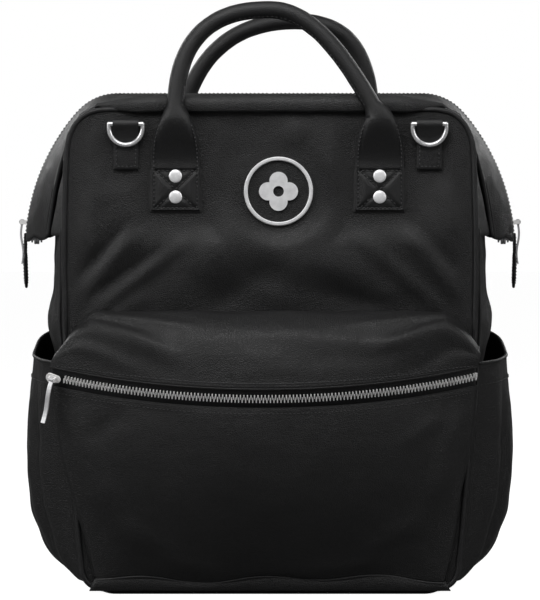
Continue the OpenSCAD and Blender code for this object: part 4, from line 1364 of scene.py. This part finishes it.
def ring_tab(side):
    """One strip of leather: up the panel, round the ring's bar and down behind itself."""
    name = "r" if side > 0 else "l"
    centre_x = HARDWARE_X + side * RING_X
    loop = [(RING_BAR_Y - RING_LOOP * math.cos(math.radians(a)),
             RING_BAR_Z + RING_LOOP * math.sin(math.radians(a)), 0) for a in range(-40, 181, 11)]
    front, rear = [[(-HALF_DEPTH - d, z, 0) for d, z in run] for run in (TAB_FRONT, TAB_REAR)]
    rows = []
    for y, z, _ in resample(front + loop + rear, 1.6):
        row = []
        for u in sine_steps(18):
            row_y = y
            if z < 366 and y < -HALF_DEPTH - 2.0:
                edge = 1 - smooth((1 - abs(u)) / 0.10)
                row_y -= 0.35 * (1 - u * u) - 0.45 * edge
                row_y -= -0.12 * ripple((centre_x + u * TAB_HALF, y, z), 7, 3.0) * -1
            row.append((centre_x + u * TAB_HALF * (1 - 0.03 * math.sin((z - 337) / 8)), row_y, z))
        rows.append(row)
    shell("d_ring_tab_" + name, rows, 1.15, TRIM, replaced="d_ring_tabs")

    path = [(x, -HALF_DEPTH - 2.6 - 0.04 * max(0, z - 345), z)
            for x, _, z in rectangle(centre_x, (359 + 339.6) / 2, 2 * 7.6, 359 - 339.6, 0)]
    stitches("d_ring_tab_stitches_" + name, [resample(path, 0.55)], (0, -1, 0), TRIM_THREAD)


# ------------------------------------------------------------------ leather tabs on the pulls
# places on a tab are distances below the pull's bar
PULL_ANGLE = math.radians(7.6)
PULL_BAR_X = SIDE_CENTRE[0] + (SIDE_RADIUS + 7.0) * math.cos(PULL_ANGLE)
PULL_BAR_Z = SIDE_CENTRE[1] + (SIDE_RADIUS + 7.0) * math.sin(PULL_ANGLE)
TAB_STEPS = 64


def tab_half(below):
    """Narrow neck, wide blade, pointed tip."""
    if below < 24:
        return 3.1 + 0.3 * (below - 9) / 15
    if below < 30:
        return lerp(3.4, 8.6, smooth((below - 24) / 6))
    if below < 46.5:
        return 8.6
    return 8.6 * max(0.10, (54.2 - below) / 7.7) ** 0.85


def tab_x(below):
    return PULL_BAR_X - 3.0 + 0.35 * math.sin((below - 9) / 45 * pi * 1.4)


def pull_tab(side, name):
    outer, inner = [], []
    for below in steps(9.0, 54.0, TAB_STEPS):
        half = tab_half(below)
        outer_row, inner_row = [], []
        for u in sine_steps(16):
            inset = half * (1 - abs(u))
            thick = 1.25 * (1 - 0.5 * (1 - smooth(inset))) - 0.16 * hump(inset - 1.5, 0.5)
            thick *= 1 - 0.5 * (1 - smooth((54.3 - below) / 1.4))
            thick *= 1 - 0.4 * (1 - smooth((below - 8.9) / 0.8))
            x = tab_x(below) + 0.15 * ripple((u * half, below, side * 4), 8, 9.0)
            outer_row.append((side * (x + thick), u * half, PULL_BAR_Z - below))
            inner_row.append((side * (x - thick), u * half, PULL_BAR_Z - below))
        outer.append(outer_row)
        inner.append(inner_row)
    two_sheets(name + "_pull_leather", outer, inner, TRIM, replaced=name + "_pull_tab",
               body=name + "_pull")

    paths = [[(side * (tab_x(below) + out), edge * max(0.4, tab_half(below) - 1.6),
               PULL_BAR_Z - below) for below in steps(12, 51.0, TAB_STEPS)]
             for out in (1.12, -0.92) for edge in (-1, 1)]
    middle = side * (PULL_BAR_X - 3.0)
    stitches(name + "_pull_stitches", paths, lambda p: (1 if p[0] > middle else -1, 0, 0),
             TRIM_THREAD, pitch=2.7, radius=0.34, body=name + "_pull")


# ------------------------------------------------------------------ padding by simulation
VOXEL = 4.6            # remesh size before the simulation, mm
PRESSURE = 4.0
CLOTH_FRAMES = 20


def read_points(mesh):
    flat = np.empty(len(mesh.vertices) * 3, np.float32)
    mesh.vertices.foreach_get("co", flat)
    return flat.reshape(-1, 3)


def write_points(mesh, points):
    mesh.vertices.foreach_set("co", points.ravel())
    mesh.update()


def evaluated(piece):
    return piece.evaluated_get(bpy.context.evaluated_depsgraph_get())


def keep_modified(piece):
    """Makes the modified mesh the piece's own."""
    mesh = bpy.data.meshes.new_from_object(evaluated(piece))
    piece.modifiers.clear()
    piece.data = mesh


def inflate(piece, most, pinned_below=None):
    """Puffs a closed form as cloth under pressure; no point moves more than most.

    Points with y under pinned_below stay put. Both are in mm.
    """
    remesh = piece.modifiers.new("remesh", "REMESH")
    remesh.mode = "VOXEL"
    remesh.voxel_size = VOXEL * MM
    keep_modified(piece)
    mesh = piece.data
    start = read_points(mesh)
    cloth = piece.modifiers.new("cloth", "CLOTH")
    settings = cloth.settings
    if pinned_below is not None:
        group = piece.vertex_groups.new(name="pin")
        for v in mesh.vertices:
            if v.co.y / MM < pinned_below:
                group.add([v.index], 1.0, "REPLACE")
        settings.vertex_group_mass = "pin"
    settings.quality = 5
    settings.mass = 0.3
    settings.use_pressure = True
    settings.uniform_pressure_force = PRESSURE
    settings.effector_weights.gravity = 0
    settings.tension_stiffness = settings.compression_stiffness = 15
    settings.bending_stiffness = 0.5
    cloth.collision_settings.use_collision = False
    cloth.point_cache.frame_start = 1
    cloth.point_cache.frame_end = CLOTH_FRAMES + 1
    scene = bpy.context.scene
    for i in range(1, CLOTH_FRAMES + 1):
        scene.frame_set(i)
    move = read_points(evaluated(piece).data) - start
    piece.modifiers.clear()
    scene.frame_set(1)
    length = np.linalg.norm(move, axis=1, keepdims=True)
    capped = move * (most * MM / np.maximum(length, 1e-9))
    write_points(mesh, start + np.where(length > most * MM, capped, move))
    shade_smooth(mesh)


def subdivide(piece):
    """One level of subdivision, kept in the mesh."""
    modifier = piece.modifiers.new("subdivision", "SUBSURF")
    modifier.levels = modifier.render_levels = 1
    bpy.context.view_layer.update()
    keep_modified(piece)
    shade_smooth(piece.data)


# ------------------------------------------------------------------ back pad
PAD_HALF_X, PAD_HALF_Z, PAD_Z, PAD_CORNER = 106.0, 125.0, 165.0, 26.0
CHANNEL_X = (-38.0, 38.0)                # upright sewn channels
CHANNEL_Z = (108.0, 176.0, 240.0)        # level sewn channels
PAD_INSET = 2.0                          # the padding stops short of its outline


def pad_inside(x, z, inset):
    """Distance inside the rounded outline, negative outside it."""
    over_x = abs(x) - (PAD_HALF_X - inset - PAD_CORNER)
    over_z = abs(z - PAD_Z) - (PAD_HALF_Z - inset - PAD_CORNER)
    out = math.hypot(max(over_x, 0), max(over_z, 0)) + min(max(over_x, over_z), 0)
    return PAD_CORNER - out


def pad_point(u, v):
    """Maps a square onto the rounded rectangle, keeping the grid even at the corners."""
    half_x, half_z = PAD_HALF_X - PAD_INSET, PAD_HALF_Z - PAD_INSET
    corner = PAD_CORNER - PAD_INSET * 0.5
    x, z = u * half_x, v * half_z
    over_x, over_z = abs(x) - (half_x - corner), abs(z) - (half_z - corner)
    if over_x > 0 and over_z > 0:
        squeeze = max(over_x, over_z) / math.hypot(over_x, over_z)
        x = math.copysign(half_x - corner + over_x * squeeze, x)
        z = math.copysign(half_z - corner + over_z * squeeze, z)
    return x, z + PAD_Z


def pad_height(x, z):
    share = max(0.0, min(1.0, pad_inside(x, z, PAD_INSET) / 12.0))
    return max(0.4, 5.6 * math.sqrt(share))


def press_channels(mesh):
    """Presses the sewn channels and the edge seam into the puffed pad."""
    points = read_points(mesh) / MM
    floor_y = HALF_DEPTH + 2.6
    for point in points:
        x, y, z = point
        if y < HALF_DEPTH + 1.4:
            point[1] = max(y, HALF_DEPTH + 0.6)
            continue
        press = 0.9 * hump(pad_inside(x, z, PAD_INSET) - 7.5, 2.6)
        for off in [x - c for c in CHANNEL_X] + [z - c for c in CHANNEL_Z]:
            press = max(press, hump(off, 3.4), 0.35 * hump(off, 9))
        if y > floor_y:
            y = floor_y + (y - floor_y) * (1 - 0.72 * press)
        point[1] = min(y, HALF_DEPTH + 10.8)
    write_points(mesh, points * MM)


def back_pad():
    grid = [[pad_point(u, v) for u in steps(-1, 1, 60)] for v in steps(-1, 1, 62)]
    front = [[(x, HALF_DEPTH + 1.2 + pad_height(x, z), z) for x, z in row] for row in grid]
    back = [[(x, HALF_DEPTH + 0.8, z) for x, z in row] for row in grid]
    pad = two_sheets("back_pad_mesh", front, back, PADDING, replaced="back_pad", body=None)
    inflate(pad, most=5.0, pinned_below=HALF_DEPTH + 1.6)
    subdivide(pad)
    press_channels(pad.data)
    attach(pad, "body")


def back_pad_binding():
    path = []
    for i in range(160):
        a = 2 * pi * i / 160
        # halve the search until the ray meets the outline
        near, far = 0.0, 400.0
        for _ in range(30):
            middle = (near + far) / 2
            if pad_inside(middle * math.cos(a), PAD_Z + middle * math.sin(a), 1.0) > 0:
                near = middle
            else:
                far = middle
        path.append((near * math.cos(a), HALF_DEPTH + 2.4, PAD_Z + near * math.sin(a)))
    tube("back_pad_binding", path, 2.3, PADDING_TAPE, closed=True)


# ------------------------------------------------------------------ shoulder straps
YOKE_Z = 356
# middle line of the right strap from the yoke down
STRAP_BEZIER = ((27, HALF_DEPTH + 8.4, YOKE_Z), (30, HALF_DEPTH + 34, 318),
                (66, HALF_DEPTH + 30, 228), (96, HALF_DEPTH + 19, 124))
STRAP_STEPS, STRAP_SIDES = 60, 28


def yoke():
    """Leather plate sewn over the tops of the straps."""
    soft_plate("strap_yoke_leather", (0, YOKE_Z), (100, 30), HALF_DEPTH + 0.25, 2.9, 1,
               corner=5, puff=0.9, replaced="strap_yoke")
    stitches("strap_yoke_stitches", [rectangle(0, YOKE_Z, 94.5, 24.8, HALF_DEPTH + 2.75),
                                     rectangle(0, YOKE_Z, 88, 18, HALF_DEPTH + 3.55)],
             (0, 1, 0), TRIM_THREAD)


def strap_width(t):
    return lerp(42, 50 if t < 0.8 else lerp(50, 34, (t - 0.8) / 0.2), min(1, t * 2.5))


def strap_thickness(t):
    return 8 + 3 * math.sin(pi * min(1, t * 1.1))


def strap_frame(t):
    """Centre of the right strap and its directions along, across and outwards."""
    before, after = [Vector(bezier(STRAP_BEZIER, s)) for s in (max(0, t - 0.01), min(1, t + 0.01))]
    along = (after - before).normalized()
    level = Vector((1, 0, 0.25 * math.sin(pi * t)))
    across = (level - along * level.dot(along)).normalized()
    return (Vector(bezier(STRAP_BEZIER, t)), along, across, across.cross(along).normalized())


def strap_point(side, t, off, out=0.0):
    centre, _, across, outwards = strap_frame(t)
    p = centre + across * off + outwards * out
    return (side * p.x, p.y, p.z)


def press_strap(mesh, side):
    """Presses the two edge seams and soft cross creases into the puffed strap."""
    stations = [strap_frame(i / 80) for i in range(81)]
    centres = np.array([[side * c.x, c.y, c.z] for c, *_ in stations])
    points = read_points(mesh) / MM
    nearest = np.argmin(((points[:, None, :] - centres[None, :, :]) ** 2).sum(2), axis=1)
    for point, k in zip(points, nearest):
        k = int(k)
        centre, along, across, outwards = stations[k]
        offset = Vector((side * point[0], point[1], point[2])) - centre
        off, out = offset.dot(across), offset.dot(outwards)
        out *= 1 - 0.34 * hump(abs(off) - (strap_width(k / 80) / 2 - 7), 1.7)
        out *= 1 + 0.05 * math.sin(k * 0.9 + side)
        p = centre + along * offset.dot(along) + across * off + outwards * out
        point[:] = (side * p.x, p.y, p.z)
    write_points(mesh, points * MM)


def strap_pad(side, name):
    verts = []
    for t in steps(0, 1, STRAP_STEPS):
        half = strap_width(t) / 2 - 1.6
        thick = (strap_thickness(t) / 2 - 0.8) * lerp(0.55, 1, smooth(min(t, 1 - t) / 0.03))
        for k in range(STRAP_SIDES):
            a = 2 * pi * k / STRAP_SIDES
            verts.append(strap_point(side, t, half * signed_power(math.cos(a), 0.35),
                                     -thick * signed_power(math.sin(a), 0.75)))
    pad = new_piece(name + "_strap_padded", verts, rod_faces(STRAP_STEPS + 1, STRAP_SIDES),
                    PADDING, replaced=name + "_shoulder_strap", body=None)
    inflate(pad, most=2.2)
    subdivide(pad)
    press_strap(pad.data, side)
    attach(pad, "body")


def strap(side, name):
    strap_pad(side, name)
    for edge, edge_name in ((-1, "a"), (1, "b")):
        path = [strap_point(side, t, edge * (strap_width(t) / 2 - 0.9)) for t in steps(0, 1, 70)]
        tube(f"{name}_strap_binding_{edge_name}", path, 1.9, WEBBING_TAPE, sides=8)
    # webbing sewn down the outside of the pad
    rows = [[strap_point(side, t, 12.4 * u, strap_thickness(t) / 2 + 1.35 - 0.4 * u * u)
             for u in steps(-1, 1, 8)] for t in steps(0.03, 1.0, 80)]
    shell(name + "_strap_webbing", rows, 1.1, WEBBING)
    paths = [[strap_point(side, t, off, strap_thickness(t) / 2 + 2.2)
              for t in steps(0.04, 0.985, 80)] for off in (-10.8, 10.8)]
    stitches(name + "_strap_stitches", paths, (0, 1, 0.2), WEBBING_THREAD)


# ------------------------------------------------------------------ lower webbing
def ribbon(name, path, level, width, thickness, **told):
    """Ribbed webbing: shallow ribs and rounded selvedges; level is its sideways direction."""
    outer, inner = [], []
    for i, centre in enumerate(path):
        along = tangent(path, i)
        across = (Vector(level) - along * Vector(level).dot(along)).normalized()
        outwards = along.cross(across).normalized()
        if outwards.y < 0:
            outwards = -outwards
        outer_row, inner_row = [], []
        for u in steps(-1, 1, 24):
            edge = math.sqrt(max(0.0, 1 - max(0.0, (abs(u) - 0.9) / 0.1) ** 2))
            half = thickness / 2 * (0.35 + 0.65 * edge) + 0.10 * math.cos(u * pi * 5) * edge
            p = Vector(centre) + across * (u * width / 2)
            outer_row.append(tuple(p + outwards * half))
            inner_row.append(tuple(p - outwards * half))
        outer.append(outer_row)
        inner.append(inner_row)
    two_sheets(name, outer, inner, WEBBING, **told)


def lower_webbing(side, name):
    back = HALF_DEPTH
    curve = ((101, back + 16, 86.5), (108, back + 15, 68), (124, back + 7, 44), (134, back + 3, 26))
    path = [(100.4, back + 16.2, 92.5), (100.7, back + 16.1, 89.5)]
    path += [bezier(curve, t) for t in steps(0, 1, 40)]
    ribbon(name + "_lower_webbing_ribbed", [(side * x, y, z) for x, y, z in path],
           (side, 0, 0.45), 25, 1.6, replaced="lower_webbing")

    def tail_x(z):
        return side * (99 + (104 - z) * 0.06)

    # the hanging tail and its folded, sewn end
    path = [(tail_x(z), back + 20.4 + 0.4 * smooth((104 - z) / 8), z) for z in steps(104, 62, 30)]
    ribbon(name + "_tail_webbing", path, (1, 0, 0), 25, 1.6,
           replaced=name + "_webbing_tail", body=name + "_tail")
    path = [(tail_x(z), back + 20.8 + 1.55, z) for z in steps(70, 62.4, 8)]
    ribbon(name + "_tail_fold", path, (1, 0, 0), 24.6, 1.4, body=name + "_tail")


# ------------------------------------------------------------------ CAD pieces that stay
# piece, material, bevel width in mm (0 for none), bevel segments
KEPT_PIECES = (
    ("base_board", board, 0, 0),
    ("front_handle_core", cord, 0, 0), ("rear_handle_core", cord, 0, 0),
    ("front_frame_wire", wire, 0, 0), ("rear_frame_wire", wire, 0, 0),
    ("frame_pins", wire, 0, 0),
    ("left_zip_slider", zip_metal, 0.3, 2), ("right_zip_slider", zip_metal, 0.3, 2),
    ("pocket_zip_slider", zip_metal, 0.3, 2),
    ("left_zip_pull", pull_metal, 0.35, 3), ("right_zip_pull", pull_metal, 0.35, 3),
    ("pocket_zip_pull", pull_metal, 0.35, 3),
    ("left_d_ring", polished, 0, 0), ("right_d_ring", polished, 0, 0),
    ("front_rivets", rivet_metal, 0, 0), ("rear_rivets", rivet_metal, 0, 0),
    ("badge_ring", satin, 0.15, 2), ("badge_emblem", satin, 0.5, 3),
    ("ladder_locks", moulded, 0.8, 3),
)


def finish_kept_pieces():
    for name, material, width, segments in KEPT_PIECES:
        piece = frame["nodes"][name]
        piece.data.materials.clear()
        piece.data.materials.append(material)
        if width:
            bevel = piece.modifiers.new("bevel", "BEVEL")
            bevel.width = width * MM
            bevel.segments = segments
            bevel.limit_method = "ANGLE"
            bevel.angle_limit = math.radians(35)


# ------------------------------------------------------------------ floor, light and camera, m
WHITE = (1, 1, 1, 1)


def floor():
    """Diffuse floor that looks nearly white to the camera without lighting the bag."""
    bpy.ops.mesh.primitive_plane_add(size=14, location=(0, 0, -0.0003))
    plane = bpy.context.active_object
    plane.name = "studio_floor"
    material = bpy.data.materials.new("studio_white")
    material.use_nodes = True
    nodes, links = material.node_tree.nodes, material.node_tree.links
    nodes.clear()
    output = nodes.new("ShaderNodeOutputMaterial")
    diffuse = nodes.new("ShaderNodeBsdfDiffuse")
    diffuse.inputs[0].default_value = (0.22, 0.22, 0.22, 1)
    glow = nodes.new("ShaderNodeEmission")
    glow.inputs[0].default_value = WHITE
    light_path = nodes.new("ShaderNodeLightPath")
    both = nodes.new("ShaderNodeAddShader")
    strength = nodes.new("ShaderNodeMath")
    strength.operation = "MULTIPLY"
    strength.inputs[1].default_value = 0.97     # glow seen by the camera
    links.new(light_path.outputs["Is Camera Ray"], strength.inputs[0])
    links.new(strength.outputs[0], glow.inputs[1])
    links.new(diffuse.outputs[0], both.inputs[0])
    links.new(glow.outputs[0], both.inputs[1])
    links.new(both.outputs[0], output.inputs[0])
    plane.data.materials.append(material)


def studio_world():
    """White behind the bag, with only a little light on it."""
    world = bpy.data.worlds.new("studio")
    bpy.context.scene.world = world
    world.use_nodes = True
    nodes, links = world.node_tree.nodes, world.node_tree.links
    nodes.clear()
    output = nodes.new("ShaderNodeOutputWorld")

    def background(strength):
        node = nodes.new("ShaderNodeBackground")
        node.inputs[0].default_value = WHITE
        node.inputs[1].default_value = strength
        return node

    seen, lighting = background(strength=1.0), background(strength=0.07)
    light_path = nodes.new("ShaderNodeLightPath")
    mix = nodes.new("ShaderNodeMixShader")
    links.new(light_path.outputs["Is Camera Ray"], mix.inputs[0])
    links.new(lighting.outputs[0], mix.inputs[1])
    links.new(seen.outputs[0], mix.inputs[2])
    links.new(mix.outputs[0], output.inputs[0])


# name, place, target, width, height, power in watts
LIGHTS = (
    ("key_left", (-1.5, -0.75, 0.95), (0, -0.05, 0.22), 0.9, 0.9, 14),
    ("fill_right", (1.5, -0.75, 0.95), (0, -0.05, 0.22), 0.9, 0.9, 9),
    ("top_soft", (0.0, -0.55, 1.5), (0, 0, 0.3), 1.1, 1.1, 7),
    ("near_top", (-0.06, -0.46, 0.80), (0, -0.08, 0.36), 0.5, 0.25, 2.2),
    ("rim_back_left", (-1.0, 1.2, 1.0), (0, 0, 0.25), 0.8, 0.8, 9),
    ("rim_back_right", (1.0, 1.2, 1.0), (0, 0, 0.25), 0.8, 0.8, 9),
)


def aim_at(thing, target):
    thing.rotation_euler = (Vector(target) - thing.location).to_track_quat("-Z", "Y").to_euler()


def lights():
    for name, place, target, width, height, power in LIGHTS:
        data = bpy.data.lights.new(name, "AREA")
        data.energy = power
        data.shape = "RECTANGLE"
        data.size = width
        data.size_y = height
        lamp = bpy.data.objects.new(name, data)
        lamp.location = place
        aim_at(lamp, target)
        bpy.context.scene.collection.objects.link(lamp)


SENSOR_WIDTH = 36                       # mm
CAMERA_DISTANCE, VIEW_WIDTH = 2.42, 0.474
CAMERA_RISE = math.radians(2.6)
CAMERA_TARGET = Vector((0.0, -0.085, 0.2342))


def camera():
    data = bpy.data.cameras.new("photo_camera")
    cam = bpy.data.objects.new("photo_camera", data)
    bpy.context.scene.collection.objects.link(cam)
    data.sensor_width = SENSOR_WIDTH
    data.sensor_fit = "AUTO"
    data.lens = SENSOR_WIDTH * CAMERA_DISTANCE / VIEW_WIDTH
    data.clip_end = 30
    away = Vector((0, -math.cos(CAMERA_RISE), math.sin(CAMERA_RISE)))
    cam.location = CAMERA_TARGET + away * CAMERA_DISTANCE
    aim_at(cam, CAMERA_TARGET)
    scene = bpy.context.scene
    scene.camera = cam
    scene.view_settings.view_transform = "Standard"
    scene.view_settings.look = "None"
    scene.view_settings.exposure = 0.0


# ------------------------------------------------------------------ build
panels()
panel_piping(-1, "front", seed=1.0)
panel_piping(1, "rear", seed=2.0)
side_welts()
for side, name in SIDES:
    side_panel(side, name)
for facing, name in FACINGS:
    mouth_band(facing, name)
for side, name in SIDES:
    gusset(side, name)
for facing, name in FACINGS:
    mouth_zip(facing, name)
pocket_panels()
for side in (-1, 1):
    pocket_side(side)
pocket_zip()
pocket_seams()
for side, name in SIDES:
    side_pocket(side, name)
base()
lining_bag()
inner_pocket()
handle(-1, "front", FRONT_BOW)
handle(1, "rear", REAR_BOW)
for facing, name in FACINGS:
    for side in (-1, 1):
        handle_patch(facing, name, side)
for side in (-1, 1):
    ring_tab(side)
for side, name in SIDES:
    pull_tab(side, name)
back_pad()
back_pad_binding()
yoke()
for side, name in SIDES:
    strap(side, name)
for side, name in SIDES:
    lower_webbing(side, name)
finish_kept_pieces()
floor()
studio_world()
lights()
camera()
